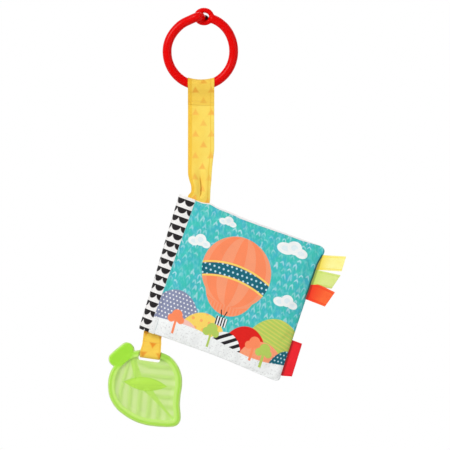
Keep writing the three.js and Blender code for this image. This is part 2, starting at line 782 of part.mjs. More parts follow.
function leafTeether() {
  const outline = leafOutline();
  const rim = insetOutline(outline, LEAF.rimWidth);
  const pocketDepth = (LEAF.thickness - LEAF.membrane) / 2;
  let body = solid(plate(outline, LEAF.thickness, LEAF.edgeRound));
  for (const way of [-1, 1]) {
    const pocket = plate(rim, 2 * pocketDepth, 0);
    pocket.translate(0, (way * (LEAF.membrane + 2 * pocketDepth)) / 2, 0);
    body = body.subtract(solid(pocket));
  }
  const { stemWidth, stemHeight, stemCorner } = LEAF;
  const stem = roundedBox(...leafPoint(2.2, 39.4), stemWidth, stemHeight, stemCorner, 0);
  body = body.add(solid(plate(stem, LEAF.thickness - 0.4, LEAF.edgeRound)));
  for (const piece of [...leafRibs(rim), leafPad()]) body = body.add(piece);
  const cutHeight = LEAF.slotHeight + 3 * LEAF.barRadius;
  const cut = barMiddle
    .clone()
    .addScaledVector(barInwards, LEAF.barRadius + LEAF.slotHeight - cutHeight / 2);
  const slot = roundedBox(cut.x, cut.y, LEAF.slotWidth, cutHeight, LEAF.slotCorner, barTurn);
  body = body.subtract(solid(plate(slot, 2 * LEAF.thickness, 0)));
  const end = (way) => {
    const point = barMiddle.clone().addScaledVector(barAlong, way * (LEAF.slotWidth / 2 - 2.2));
    return new THREE.Vector3(point.x, 0, point.y);
  };
  const barPath = [0, 0.5, 1].map((t) => end(-1).lerp(end(1), t));
  body = body.add(solid(roundedTube(barPath, barPath.map(() => LEAF.barRadius), 14)));
  const leaf = mesh("leaf_teether", geometryOf(body), "teether");
  leaf.position.set(-barMiddle.x, 0, -barMiddle.y);
  const turned = group("", leaf);
  turned.rotation.y = -degrees(LEAF.tipAngle + LOOP.lean);
  return turned;
}

// The short loop under the spine, folded round the teether's bar
function lowerLoop() {
  const layer = RIBBON.thickness;
  const eyeHalf = LEAF.barRadius + RUNNING_GAP;
  const eyeTop = LOOP.length - 1.6; // the soft eye hangs round the bar with some room above it
  const section = foldedSection({
    eyeHalf,
    eyeTop: LOOP.length,
    eyeBottom: eyeTop,
    split: LOOP.length - 9.5,
    end: -layer,
    layer,
  });
  const extra = topSlope - Math.tan(degrees(LOOP.lean));
  const hang = (point) => {
    const nearSeam = 1 - smooth(clamp(point.z / (LOOP.length - 9), 0, 1));
    point.z = -point.z - extra * nearSeam * point.x;
    point.x *= 1 - 0.06 * nearSeam;
  };
  const ribbon = mesh("lower_loop", ribbonBody(section, RIBBON.loopWidth, 4, hang), "strap");
  const swing = group("teether_swing", leafTeether());
  swing.position.z = -LOOP.length;
  const fold = group("loop_fold", ribbon, swing);
  return fold;
}

function book() {
  const layer = RIBBON.thickness;
  const plan = group(
    "plan",
    spineBinding(),
    coverRoot("front"),
    coverRoot("back"),
    ...page(),
    cover("front", "turquoise", tabs()),
    cover("back", "turquoise", []),
  );
  const top = planPoint(BOOK.strapInset, 0, BOOK.height / 2);
  plan.position.set(-top.x, 0, -top.z - RUNNING_GAP - layer);
  const loop = lowerLoop();
  const bottom = planPoint(BOOK.loopInset, 0, -BOOK.height / 2);
  loop.position.set(bottom.x, 0, bottom.z - RUNNING_GAP - layer);
  loop.rotation.y = degrees(LOOP.lean - BOOK.tilt);
  plan.add(loop);
  const fold = group("book_fold", plan);
  fold.position.set(STRAP.seamX, 0, seamZ + layer);
  fold.rotation.y = degrees(BOOK.tilt);
  return fold;
}

export default group("activity_book", ringClip(), strapLoop(), strapBand(), book());
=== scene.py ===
import logging
import math
from collections.abc import Callable, Iterable, Sequence
from dataclasses import dataclass, field
from enum import Enum
from itertools import accumulate, product

import bmesh
import bpy
import numpy as np
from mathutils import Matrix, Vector
from mathutils.bvhtree import BVHTree


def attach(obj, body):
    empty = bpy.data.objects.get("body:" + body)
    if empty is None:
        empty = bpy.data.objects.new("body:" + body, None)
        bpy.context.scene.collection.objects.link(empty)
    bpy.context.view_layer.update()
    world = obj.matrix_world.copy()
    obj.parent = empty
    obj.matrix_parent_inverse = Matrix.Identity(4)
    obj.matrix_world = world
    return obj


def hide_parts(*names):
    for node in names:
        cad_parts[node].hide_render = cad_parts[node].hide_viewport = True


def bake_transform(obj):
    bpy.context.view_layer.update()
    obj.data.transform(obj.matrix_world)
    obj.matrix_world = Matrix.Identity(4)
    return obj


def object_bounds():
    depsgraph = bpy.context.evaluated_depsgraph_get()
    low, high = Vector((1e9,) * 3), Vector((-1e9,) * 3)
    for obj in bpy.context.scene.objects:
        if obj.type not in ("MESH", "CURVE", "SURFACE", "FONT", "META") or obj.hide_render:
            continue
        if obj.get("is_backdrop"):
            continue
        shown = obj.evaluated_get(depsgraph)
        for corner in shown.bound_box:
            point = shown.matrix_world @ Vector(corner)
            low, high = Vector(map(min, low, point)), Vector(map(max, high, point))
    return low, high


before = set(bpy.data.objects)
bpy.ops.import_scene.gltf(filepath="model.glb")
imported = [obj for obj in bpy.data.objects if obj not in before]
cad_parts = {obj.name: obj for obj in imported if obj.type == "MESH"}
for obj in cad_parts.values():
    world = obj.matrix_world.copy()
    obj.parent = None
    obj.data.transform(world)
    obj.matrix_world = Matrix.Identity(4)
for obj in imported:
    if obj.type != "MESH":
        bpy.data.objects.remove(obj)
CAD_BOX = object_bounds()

log = logging.getLogger("activity_book")

Colour = tuple[float, float, float]
Line = Sequence[Vector]
Place = tuple[float, float, float]
Number = "Signal | float"
Material = bpy.types.Material
Mesh = bpy.types.Mesh
Node = bpy.types.Node
Piece = bpy.types.Object
Wardrobe = dict[str, Material]

MM = 0.001
# Colour of the painted shade in the hollows between woven threads.
SHADE_BETWEEN_THREADS = (60, 50, 45)
VEIN_SPACING = 13.3
PAD_MIDDLE = (2.1, 2.7)
PAD_TURN = math.radians(46.7)
PAD_HALF = 6.4
SEAM_SLOPE = math.tan(math.radians(20.1))


class Body(Enum):
    """The CAD bodies that the pieces ride on."""

    RING = "ring"
    STRAP_TOP = "strap_top"
    STRAP = "strap"
    BOOK = "book"
    FRONT_COVER = "front_cover"
    BACK_COVER = "back_cover"
    LOOP = "loop"
    TEETHER = "teether"


class Side(Enum):
    """Which way a piece of the book faces: its sign along Y."""

    FRONT = -1
    BACK = 1


# ---------------------------------------------------------------- shader nodes


def linear(colour: Colour) -> tuple[float, ...]:
    """Turns a colour written as 0 to 255 into Blender's linear colour, with full alpha."""
    shares = [value / 255 for value in colour]
    return (*(s / 12.92 if s <= 0.04045 else ((s + 0.055) / 1.055) ** 2.4 for s in shares), 1.0)


def darker(colour: Colour, share: float) -> Colour:
    """A share of a colour."""
    return tuple(value * share for value in colour)


def step(operation: str, turned: bool = False) -> Callable[..., "Signal"]:
    """A method that does one step of arithmetic with a signal and other numbers.

    Args:
        operation: the Math node's operation.
        turned: whether the signal comes last.

    Returns:
        The method.
    """

    def method(self: "Signal", *others: Number) -> "Signal":
        """The result of the step."""
        return self.sheet.math(operation, *((*others, self) if turned else (self, *others)))

    return method


@dataclass(eq=False)
class Signal:
    """A value in a node tree that can be added and compared like a number."""

    sheet: "NodeSheet"
    socket: bpy.types.NodeSocket

    __add__ = __radd__ = step("ADD")
    __sub__, __rsub__ = step("SUBTRACT"), step("SUBTRACT", turned=True)
    __mul__ = __rmul__ = step("MULTIPLY")
    __truediv__ = step("DIVIDE")
    size, floor, fraction = step("ABSOLUTE"), step("FLOOR"), step("FRACT")
    sine, root, over = step("SINE"), step("SQRT"), step("GREATER_THAN")
    least, most = step("MINIMUM"), step("MAXIMUM")

    def clipped(self) -> "Signal":
        """The value held between 0 and 1."""
        return self.sheet.math("ADD", self, 0.0, clamp=True)

    def edge(self, softness: float) -> "Signal":
        """A mask that turns on where a distance grows past 0, over a soft edge."""
        return (self / softness + 0.5).clipped()

    def within(self, half: Number, softness: float) -> "Signal":
        """A mask for where the value is nearer to 0 than half."""
        return (half - self.size()).edge(softness)


@dataclass
class NodeSheet:
    """Writes one shader node tree in plain sums."""

    tree: bpy.types.NodeTree

    def node(self, kind: str, **settings: object) -> Node:
        """Adds a node and sets its own settings.

        Args:
            kind: the node's type.
            settings: its attributes by name.

        Returns:
            The node.
        """
        made = self.tree.nodes.new(kind)
        for name, value in settings.items():
            setattr(made, name, value)
        return made

    def feed(self, socket: bpy.types.NodeSocket, value: object) -> None:
        """Links a signal into a socket, or sets the socket to a plain value.

        Args:
            socket: the input.
            value: what goes in.
        """
        if isinstance(value, Signal):
            self.tree.links.new(value.socket, socket)
        else:
            socket.default_value = value

    def fill(self, node: Node, **values: object) -> None:
        """Feeds a node's inputs by name, with _ for a space."""
        for name, value in values.items():
            self.feed(node.inputs[name.replace("_", " ")], value)

    def math(self, operation: str, *values: Number, clamp: bool = False) -> Signal:
        """One step of arithmetic, by the Math node's operation.

        Args:
            operation: the node's operation.
            values: signals or numbers.
            clamp: whether the result is held between 0 and 1.

        Returns:
            The result.
        """
        made = self.node("ShaderNodeMath", operation=operation, use_clamp=clamp)
        for socket, value in zip(made.inputs, values):
            self.feed(socket, value)
        return Signal(self, made.outputs[0])

    def mix(self, mask: Number, under: object, over: object) -> Signal:
        """Lays one colour over another through a mask.

        Args:
            mask: 0 shows the first colour and 1 the second.
            under: a colour from 0 to 255, or a signal.
            over: the same.

        Returns:
            The mixed colour.
        """
        made = self.node("ShaderNodeMix", data_type="RGBA")
        self.feed(made.inputs[0], mask)
        for socket, value in ((made.inputs[6], under), (made.inputs[7], over)):
            self.feed(socket, linear(value) if isinstance(value, tuple) else value)
        return Signal(self, made.outputs[2])

    def apart(self, place: Signal) -> list[Signal]:
        """The three numbers of a vector.

        Args:
            place: the vector.

        Returns:
            Its X, Y and Z.
        """
        parts = self.node("ShaderNodeSeparateXYZ")
        self.feed(parts.inputs[0], place)
        return [Signal(self, output) for output in parts.outputs]

    def value(
        self, kind: str, output: int | str, settings: dict[str, object], **inputs: object
    ) -> Signal:
        """Adds a node and gives one of its outputs.

        Args:
            kind: the node's type.
            output: the output's name or number.
            settings: the node's attributes by name.
            inputs: what goes in, by name.

        Returns:
            The output.
        """
        made = self.node(kind, **settings)
        self.fill(made, **inputs)
        return Signal(self, made.outputs[output])

    def solid(self) -> Signal:
        """The object coordinates, in metres."""
        return self.value("ShaderNodeTexCoord", "Object", {})

    def stored(self, label: str) -> Signal:
        """A value that the mesh carries at each of its points."""
        return self.value("ShaderNodeAttribute", "Fac", {"attribute_name": label})

    def vector(self, x: Number, y: Number) -> Signal:
        """Puts two numbers together."""
        return self.value("ShaderNodeCombineXYZ", 0, {}, X=x, Y=y)

    def noise(self, place: Signal, scale: float, detail: float = 2.0) -> Signal:
        """Smooth noise from 0 to 1."""
        return self.value("ShaderNodeTexNoise", 0, {}, Vector=place, Scale=scale, Detail=detail)

    def chance(self, row: Signal, column: Signal) -> Signal:
        """A number from 0 to 1 for each cell."""
        flat, cell = {"noise_dimensions": "2D"}, self.vector(row, column)
        return self.value("ShaderNodeTexWhiteNoise", "Value", flat, Vector=cell)

    def use(self, group: str, **values: object) -> list[Signal]:
        """Places a shared node group with its inputs by name, and gives its outputs.

        Args:
            group: the group's name.
            values: its inputs.

        Returns:
            Its outputs, in order.
        """
        made = self.node("ShaderNodeGroup", node_tree=bpy.data.node_groups[group])
        self.fill(made, **values)
        return [Signal(self, output) for output in made.outputs]

    def dress(
        self,
        shader: Node,
        colour: Signal,
        roughness: Signal,
        height: Signal,
        relief: tuple[float, float],
        **others: object,
    ) -> None:
        """Feeds a Principled node.

        Args:
            shader: the node.
            colour: its colour.
            roughness: its roughness.
            height: the relief's height.
            relief: the relief's strength, and its depth in millimetres.
            others: further inputs by name.
        """
        depth = {"Strength": relief[0], "Distance": relief[1] * MM}
        normal = self.value("ShaderNodeBump", 0, {}, Height=height, **depth)
        self.fill(shader, Base_Color=colour, Roughness=roughness, Normal=normal, **others)


# ---------------------------------------------------------------- shared effects


def woven_threads(sheet: NodeSheet, place: Signal, pitch: Signal, rib: Signal) -> list[Signal]:
    """Threads that pass over and under each other, as a height.

    Args:
        sheet: the nodes to write on.
        place: where on the piece, in millimetres.
        pitch: from thread to thread.
        rib: 0 for a plain weave, 1 for a ribbed ribbon.

    Returns:
        The height of the threads.
    """
    x, y, _ = sheet.apart(place)
    across, along = ((way * math.pi / pitch).sine() for way in (x, y))
    plain = along.size() + (across * along).over(0.0) * (across.size() - along.size())
    ribbed = plain + rib * (along.size() - plain)
    return [ribbed * 0.8 + sheet.noise(place, 0.9, 3.0) * 0.35]


def uneven_dye(sheet: NodeSheet, place: Signal, colour: Signal, amount: Signal) -> list[Signal]:
    """Dyed cloth: uneven colour and roughness.

    Args:
        sheet: the nodes to write on.
        place: where on the piece, in millimetres.
        colour: the even colour.
        amount: how uneven the dye is.

    Returns:
        The colour and the roughness.
    """
    broad = sheet.noise(place, 0.05, 3.0) - 0.5
    fine = sheet.noise(place, 1.3) - 0.5
    bright = 1.0 + amount * (broad * 0.24 + fine * 0.3)
    tinted = sheet.value("ShaderNodeHueSaturation", 0, {}, Value=bright, Color=colour)
    return [tinted, 0.84 + fine * 0.2]


def printed_oval(
    sheet: NodeSheet, place: Signal, cx: Signal, cy: Signal, width: Signal, height: Signal
) -> list[Signal]:
    """The mask of a printed oval.

    Args:
        sheet: the nodes to write on.
        place: where on the piece, in millimetres.
        cx: its middle across.
        cy: its middle up.
        width: half its width.
        height: half its height.

    Returns:
        The mask.
    """
    x, y, _ = sheet.apart(place)
    across, up = (x - cx) / width, (y - cy) / height
    out = (across * across + up * up).root()
    return [((1.0 - out) * width.least(height)).edge(0.5)]


def printed_dots(sheet: NodeSheet, place: Signal, pitch: Signal, radius: Signal) -> list[Signal]:
    """Rows of printed dots, every other row moved half a step.

    Args:
        sheet: the nodes to write on.
        place: where on the piece, in millimetres.
        pitch: from dot to dot.
        radius: a dot's radius.

    Returns:
        The mask.
    """
    x, y, _ = sheet.apart(place)
    odd = ((y / pitch).floor() * 0.5).fraction()
    across = (x / pitch + odd).fraction() - 0.5
    up = (y / pitch).fraction() - 0.5
    away = (across * across + up * up).root() * pitch
    return [(radius - away).edge(0.4)]


def printed_stripes(
    sheet: NodeSheet, place: Signal, pitch: Signal, share: Signal, turn_x: Signal, turn_y: Signal
) -> list[Signal]:
    """Printed stripes across a chosen direction.

    Args:
        sheet: the nodes to write on.
        place: where on the piece, in millimetres.
        pitch: from stripe to stripe.
        share: a stripe's share of the pitch.
        turn_x: the direction's part across.
        turn_y: its part up.

    Returns:
        The mask.
    """
    x, y, _ = sheet.apart(place)
    along = x * turn_x + y * turn_y
    from_middle = ((along / pitch).fraction() - 0.5).size() * 2.0
    return [((share - from_middle) * pitch).edge(0.5)]


def printed_scallops(
    sheet: NodeSheet, place: Signal, width: Signal, row: Signal, drop: Signal, line: Signal
) -> list[Signal]:
    """Rows of half discs that hang from a line, every other row moved half a step.

    Args:
        sheet: the nodes to write on.
        place: where on the piece, in millimetres.
        width: a scallop's width.
        row: from row to row.
        drop: how far a scallop hangs down.
        line: thickness of the line it hangs from.

    Returns:
        The mask.
    """
    x, y, _ = sheet.apart(place)
    odd = ((y / row).floor() * 0.5).fraction()
    below = (y / row).fraction() * row
    across = ((x / width + odd).fraction() - 0.5) * 2.0
    down = below / drop
    away = (across * across + down * down).root()
    shapes = ((1.0 - away) * drop).edge(0.6).most((line - below).edge(0.5))
    return [shapes * (below + 0.1).edge(0.5) * (y + 0.2).edge(0.4)]


def printed_flecks(
    sheet: NodeSheet, place: Signal, pitch: Signal, size: Signal, line: Signal
) -> list[Signal]:
    """Rows of small printed chevrons, some of them faint.

    Args:
        sheet: the nodes to write on.
        place: where on the piece, in millimetres.
        pitch: from fleck to fleck.
        size: half a fleck's width.
        line: how thick it is drawn.

    Returns:
        The mask.
    """
    x, y, _ = sheet.apart(place)
    y = y + sheet.noise(place, 0.1) * 12.0
    row = (y / pitch).floor()
    odd = (row * 0.5).fraction()
    strength = sheet.chance(row, (x / pitch + odd).floor())
    jog = (strength * 7.0).fraction() * 2.4 - 1.2
    across = ((x / pitch + odd).fraction() - 0.5) * pitch + jog
    up = ((y / pitch).fraction() - 0.5) * pitch - jog * 0.6
    arm = (up + across.size() * 1.35 - 1.3).size() * 0.6
    return [(line - arm).edge(0.9) * across.within(size, 0.8) * strength]


def printed_triangles(
    sheet: NodeSheet, place: Signal, column: Signal, row: Signal, size: Signal
) -> list[Signal]:
    """Small printed triangles in staggered columns.

    Args:
        sheet: the nodes to write on.
        place: where on the piece, in millimetres.
        column: from column to column.
        row: from triangle to triangle in a column.
        size: a triangle's side.

    Returns:
        The mask.
    """
    x, y, _ = sheet.apart(place)
    number = (x / column).floor()
    moved = y + (number * 0.5).fraction() * row
    value = sheet.chance((moved / row).floor(), number)
    across = ((x / column).fraction() - 0.5) * column
    up = ((moved / row).fraction() - 0.5) * row
    slanted = across.size() * 0.87 + up * 0.5
    inside = size * 0.29 - slanted.most(up * -1.0)
    return [inside.edge(1.4) * (0.5 + value * 0.5)]


def moulded_skin(sheet: NodeSheet, place: Signal, roughness: Signal) -> list[Signal]:
    """The skin of a moulded toy: faint flow waves and fine scratches."""
    waves, scratches = sheet.noise(place, 60.0), sheet.noise(place, 900.0, 4.0)
    return [waves * 0.7 + scratches * 0.12, roughness + (scratches - 0.5) * 0.125]


@dataclass(frozen=True)
class Effect:
    """A shader node group that several finishes share. Its first input is the place."""

    write: Callable[..., list[Signal]]
    inputs: dict[str, object]
    outputs: tuple[str, ...] = ("Mask",)

    def build(self) -> None:
        """Writes the group, under the name of its function."""
        tree = bpy.data.node_groups.new(self.write.__name__, "ShaderNodeTree")
        new = tree.interface.new_socket
        new("Place", in_out="INPUT", socket_type="NodeSocketVector")
        for label, value in self.inputs.items():
            kind = "NodeSocketColor" if isinstance(value, tuple) else "NodeSocketFloat"
            new(label, in_out="INPUT", socket_type=kind).default_value = value
        for label in self.outputs:
            kind = "NodeSocketColor" if label == "Color" else "NodeSocketFloat"
            new(label, in_out="OUTPUT", socket_type=kind)
        sheet = NodeSheet(tree)
        entry, leave = sheet.node("NodeGroupInput"), sheet.node("NodeGroupOutput")
        given = [Signal(sheet, output) for output in entry.outputs if output.name]
        sheet.fill(leave, **dict(zip(self.outputs, self.write(sheet, *given))))


EFFECTS = (
    Effect(woven_threads, {"Pitch": 0.8, "Rib": 0.0}, ("Height",)),
    Effect(uneven_dye, {"Color": (1.0, 1.0, 1.0, 1.0), "Amount": 0.5}, ("Color", "Roughness")),
    Effect(
        printed_oval, {"Middle X": 0.0, "Middle Y": 0.0, "Half Width": 10.0, "Half Height": 10.0}
    ),
    Effect(printed_dots, {"Pitch": 4.0, "Radius": 0.8}),
    Effect(printed_stripes, {"Pitch": 5.0, "Share": 0.5, "Turn X": 0.0, "Turn Y": 1.0}),
    Effect(printed_scallops, {"Width": 9.0, "Row": 8.48, "Drop": 5.5, "Line": 1.5}),
    Effect(printed_flecks, {"Pitch": 6.4, "Size": 1.9, "Line": 0.72}),
    Effect(printed_triangles, {"Column": 7.6, "Row": 20.5, "Size": 6.7}),
    Effect(moulded_skin, {"Roughness": 0.3}, ("Height", "Roughness")),
)


# ---------------------------------------------------------------- prints


@dataclass
class Print:
    """A printed cloth's colour as it is laid down, at a place in millimetres."""

    sheet: NodeSheet
    x: Signal
    y: Signal
    colour: object

    def __post_init__(self) -> None:
        """Puts the place together."""
        self.place = self.sheet.vector(self.x, self.y)

    def lay(self, mask: Number, over: object) -> None:
        """Lays a colour over what is there."""
        self.colour = self.sheet.mix(mask, self.colour, over)

    def use(self, group: str, **values: float) -> Signal:
        """The mask of a shared print at this place."""
        return self.sheet.use(group, Place=self.place, **values)[0]

    def dots(self, pitch: float, radius: float) -> Signal:
        """The mask of printed dots."""
        return self.use("printed_dots", Pitch=pitch, Radius=radius)

    def oval(self, cx: float, cy: float, width: float, height: float) -> Signal:
        """The mask of an oval, from its middle and its half width and height.

        Args:
            cx: its middle across.
            cy: its middle up.
            width: half its width.
            height: half its height.

        Returns:
            The mask.
        """
        return self.use(
            "printed_oval", Middle_X=cx, Middle_Y=cy, Half_Width=width, Half_Height=height
        )

    def weave(
        self, shader: Node, pitch: float, rib: float, relief: float, dye: float, **others: float
    ) -> None:
        """Gives the printed colour the weave, painted shade between the threads, dye and sheen of
        cloth.

        Args:
            shader: the material's Principled node.
            pitch: millimetres from thread to thread.
            rib: 0 for a plain weave, 1 for a ribbed ribbon.
            relief: how strongly the threads stand out.
            dye: how uneven the dye is.
            others: further inputs of the Principled node.
        """
        sheet = self.sheet
        height = self.use("woven_threads", Pitch=pitch, Rib=rib)
        # Painted shade: darker in the hollows between the threads, by how low they lie.
        self.lay((1.0 - height) * 0.16, SHADE_BETWEEN_THREADS)
        colour, rough = sheet.use("uneven_dye", Color=self.colour, Place=self.place, Amount=dye)
        sheen = {"Sheen_Weight": 0.08, "Sheen_Roughness": 0.5, "Specular_IOR_Level": 0.25}
        sheet.dress(shader, colour, rough, height, (relief, 0.25), **sheen, **others)


@dataclass(frozen=True)
class SpinePrint:
    """White cloth with rows of black scallops, up to a border that leans a little."""

    white: Colour = (238, 236, 234)
    black: Colour = (22, 18, 20)
    border_middle: float = 12.7
    border_lean: float = 2.94
    top_margin: float = 2.8

    def lay(self, art: Print, height: float) -> None:
        """Lays the print on a cloth of this height, as far as its border.

        Args:
            art: the print to lay it on.
            height: the cloth's height.
        """
        slope = 2 * self.border_lean / height
        beyond = (art.x - (self.border_middle + art.y * slope)).edge(0.5)
        down = height / 2 - self.top_margin - art.y
        place = art.sheet.vector(art.x + (55.0 - art.y) * slope + 3.0, down)
        mask = art.sheet.use("printed_scallops", Place=place)[0]
        bound = art.sheet.mix(mask * (1.0 - beyond), self.white, self.black)
        art.colour = art.sheet.mix(beyond, bound, art.colour)


@dataclass(frozen=True)
class CoverScene:
    """A plain printed scene: a patchwork balloon over patchwork hills, on turquoise."""

    start: float = 14.6
    turquoise: Colour = (58, 192, 180)
    deep: Colour = (62, 178, 200)
    light: Colour = (118, 212, 212)
    pale: Colour = (190, 226, 238)
    white: Colour = (240, 242, 241)
    orange: Colour = (250, 138, 92)
    coral: Colour = (247, 156, 116)
    red: Colour = (222, 22, 14)
    navy: Colour = (4, 98, 116)
    lilac: Colour = (134, 140, 170)
    pink: Colour = (240, 190, 178)
    yellow: Colour = (247, 212, 100)
    green: Colour = (178, 204, 92)
    black: Colour = (26, 22, 28)
    speck: Colour = (206, 206, 206)

    def ground(self, art: Print) -> None:
        """The turquoise cloth with its pale chevrons.

        Args:
            art: the print to lay it on.
        """
        sheet, x, y = art.sheet, art.x, art.y
        art.lay(((sheet.noise(art.place, 0.11, 3.0) - 0.4) * 3.0).clipped(), self.deep)
        washed = sheet.noise(sheet.vector(x * 0.55 + y * 0.2, y * 0.25 - x * 0.1), 0.7, 3.0)
        art.lay(((washed - 0.48) * 5.0).clipped() * 0.5, self.light)
        art.lay(art.use("printed_flecks") * 0.75, self.pale)

    def clouds(self, art: Print) -> None:
        """White clouds with a pale blue heart.

        Args:
            art: the print to lay it on.
        """
        for cx, cy, width, height in (
            (96, 119, 8.5, 5.5), (104, 122, 7, 6.5), (111, 119, 6.5, 4.5),
            (11, 96, 5.5, 4), (17, 99, 5.5, 5.5), (23, 96.5, 4.5, 3.4),
            (105, 70, 6, 4.2), (112, 73, 6, 5.6), (118, 70.5, 5, 3.6),
            (32, 123, 4, 3), (37, 125, 4.5, 4.2), (41.5, 123.2, 3.6, 2.6),
        ):
            art.lay(art.oval(cx, cy, width, height), self.white)
            art.lay(art.oval(cx, cy, width * 0.5, height * 0.45) * 0.35, self.pale)

    def hills(self, art: Print) -> None:
        """Overlapping hills, each of another patch of cloth.

        Args:
            art: the print to lay it on.
        """
        mix, dots, wide = art.sheet.mix, art.dots(3.6, 0.75), art.dots(8.0, 1.5)
        bars = art.use("printed_stripes", Pitch=6.2, Turn_X=0.6, Turn_Y=-0.8)
        rows = art.use("printed_stripes", Pitch=3.4, Share=0.4, Turn_X=0.25, Turn_Y=0.97)
        for spot, cloth in (
            ((112, 14, 30, 40), mix(rows * 0.35, self.green, self.yellow)),
            ((14, 12, 26, 36), mix(dots, self.lilac, self.white)),
            ((86, 8, 22, 30), self.red),
            ((44, 6, 24, 30), mix(wide * 0.6, self.yellow, self.orange)),
            ((68, 4, 17, 22), mix(bars, self.white, self.black)),
            ((104, 4, 22, 25), mix(dots * 0.5, self.coral, self.orange)),
            ((24, 2, 20, 22), self.pink),
            ((128, 2, 17, 26), mix(dots, self.navy, self.pale)),
        ):
            art.lay(art.oval(*spot), cloth)

    def balloon(self, art: Print, cx: float = 58, cy: float = 82, radius: float = 33) -> None:
        """A balloon of orange gores with a patterned belt, a skirt and a basket.

        Args:
            art: the print to lay it on.
            cx: the bag's middle across.
            cy: its middle up.
            radius: its radius.
        """
        mix = art.sheet.mix
        across, up = (art.x - cx) / radius, (art.y - cy) / radius
        skirt = art.oval(cx, cy - radius * 0.42, radius * 0.74, radius * 0.86)
        bag = art.oval(cx, cy, radius, radius).most(skirt)
        gore = (across / (1.02 - (up * up).least(1.0)).root() * 3.0 + 0.5).floor()
        cloth = mix((gore * 0.5).fraction() * 2.0 * 0.8, self.orange, self.coral)
        off_belt = up + across * across * 0.22 + 0.02
        dots = mix(art.dots(4.6, 0.95), self.navy, self.pale)
        cloth = mix(off_belt.within(0.17, 0.02), cloth, dots)
        cloth = mix((off_belt.size() - 0.2).within(0.025, 0.02), cloth, self.yellow)
        art.lay(bag, cloth)
        aside, above = art.x - cx, art.y - (cy - radius * 1.3)
        for lean in (-0.16, 0.16):
            rope = (aside - (above + 6.0) * lean * 1.6).within(0.5, 0.4)
            art.lay(rope * (above + 1.0).within(6.0, 0.4), self.black)
        bars = art.use("printed_stripes", Pitch=2.6, Turn_X=1.0, Turn_Y=0.0)
        basket = aside.within(5.5, 0.5) * (above + 6.0).within(4.2, 0.5)
        art.lay(basket, mix(bars, self.white, self.black))

    def foreground(self, art: Print) -> None:
        """White ground with grey specks along the lower edge, and a few round trees.

        Args:
            art: the print to lay it on.
        """
        sheet, x, y = art.sheet, art.x, art.y
        wave = 15.0 + (x * 0.045 + 0.4).sine() * 4.0
        specks = (sheet.noise(art.place, 0.55) - 0.6).edge(0.03)
        art.lay((wave - y).edge(0.5), sheet.mix(specks * 0.6, self.white, self.speck))
        for cx, cy, width, crown in (
            (94, 15, 1.2, self.orange), (105, 12, 1.3, self.green),
            (17, 14, 1.1, self.orange), (52, 13, 1.0, self.green),
        ):
            art.lay((x - cx).within(width, 0.4) * (y - cy).within(7.0, 0.4), crown)
            for dx, dy, size in ((0, 11, 5.2), (-4.6, 7, 3.6), (4.4, 7.5, 3.4)):
                art.lay(art.oval(cx + dx, cy + dy, size, size * 1.05), crown)


# ---------------------------------------------------------------- finishes


@dataclass(frozen=True)
class Finish:
    """A material with one Principled surface."""

    name: str
    colour: Colour

    def make(self) -> Material:
        """Builds the material.

        Returns:
            The material.
        """
        made = bpy.data.materials.new(self.name)
        made.use_nodes = True
        made.diffuse_color = linear(self.colour)
        shader = made.node_tree.nodes["Principled BSDF"]
        shader.inputs["Base Color"].default_value = linear(self.colour)
        self.dress(NodeSheet(made.node_tree), shader)
        return made

    def dress(self, sheet: NodeSheet, shader: Node) -> None:
        """Writes the finish's own nodes."""
        raise NotImplementedError

    def cloth(self, sheet: NodeSheet) -> Print:
        """The plain colour at the piece's own cloth coordinates.

        Args:
            sheet: the nodes to write on.

        Returns:
            The print.
        """
        x, y, _ = sheet.apart(sheet.value("ShaderNodeUVMap", 0, {"uv_map": "cloth"}))
        return Print(sheet, x * 100.0, y * 100.0, self.colour)


@dataclass(frozen=True)
class Ribbon(Finish):
    """A woven ribbon, plain or with printed triangles, with a selvedge on both edges."""

    shade: Colour
    half_width: float
    marks: Colour | None = None
    # root_shade and root_reach: how strong and how far the painted shade at the root runs.
    root_shade: float = 0.0
    root_reach: float = 11.0
    rib_pitch: float = 0.9
    gloss: float = 0.0
    left_band: float = 0.0
    mark_start: tuple[float, float] = (9.15, -5.3)
    selvedge: float = 1.4
    uneven: float = 0.0

    def dress(self, sheet: NodeSheet, shader: Node) -> None:
        """Lays the ribbon's print and bands, and painted shade at its root where it goes into a
        seam.

        Args:
            sheet: the nodes to write on.
            shader: the material's Principled node.
        """
        art = self.cloth(sheet)
        x, y = art.x, art.y
        art.lay((sheet.noise(art.place, 0.09) - 0.35) * 0.9, self.shade)
        if self.uneven:
            art.lay((0.5 - x / (2 * self.half_width)).clipped() * self.uneven, self.shade)
        if self.marks:
            place = sheet.vector(x + self.mark_start[0], y + self.mark_start[1])
            art.lay(sheet.use("printed_triangles", Place=place)[0], self.marks)
        band = x.size() - (self.half_width - self.selvedge)
        art.lay(band.within(0.5, 0.6) * 0.6, self.shade)
        if self.left_band:
            art.lay((self.left_band - self.half_width - x).edge(0.9) * 0.75, self.shade)
        # Painted shade: darker towards the root, where the ribbon goes into the cover's seam, and
        # a darker painted shadow line right at the root.
        if self.root_shade:
            art.lay((1.0 - y / self.root_reach).clipped() * self.root_shade, self.shade)
            art.lay((1.0 - y / 1.2).clipped() * 0.6, darker(self.shade, 0.45))
        coat = {"Coat_Weight": self.gloss, "Coat_Roughness": 0.45}
        art.weave(shader, self.rib_pitch, 0.85, 0.35, 0.35, **coat)


@dataclass(frozen=True)
class PlainCloth(Finish):
    """Cloth with printed dots, whole ones clear of the fold and the seams."""

    print_colour: Colour
    pitch: float = 9.0
    radius: float = 1.6
    first: float = 20.8
    last: float = 137.2

    def dress(self, sheet: NodeSheet, shader: Node) -> None:
        """Lays the dots.

        Args:
            sheet: the nodes to write on.
            shader: the material's Principled node.
        """
        art = self.cloth(sheet)
        inside = art.y.within(60.5, 1.0) * (self.last - art.x).edge(0.4)
        inside = inside * (art.x - self.first).edge(0.4)
        art.lay(art.dots(self.pitch, self.radius) * inside, self.print_colour)
        art.weave(shader, 0.7, 0.0, 0.3, 0.4)


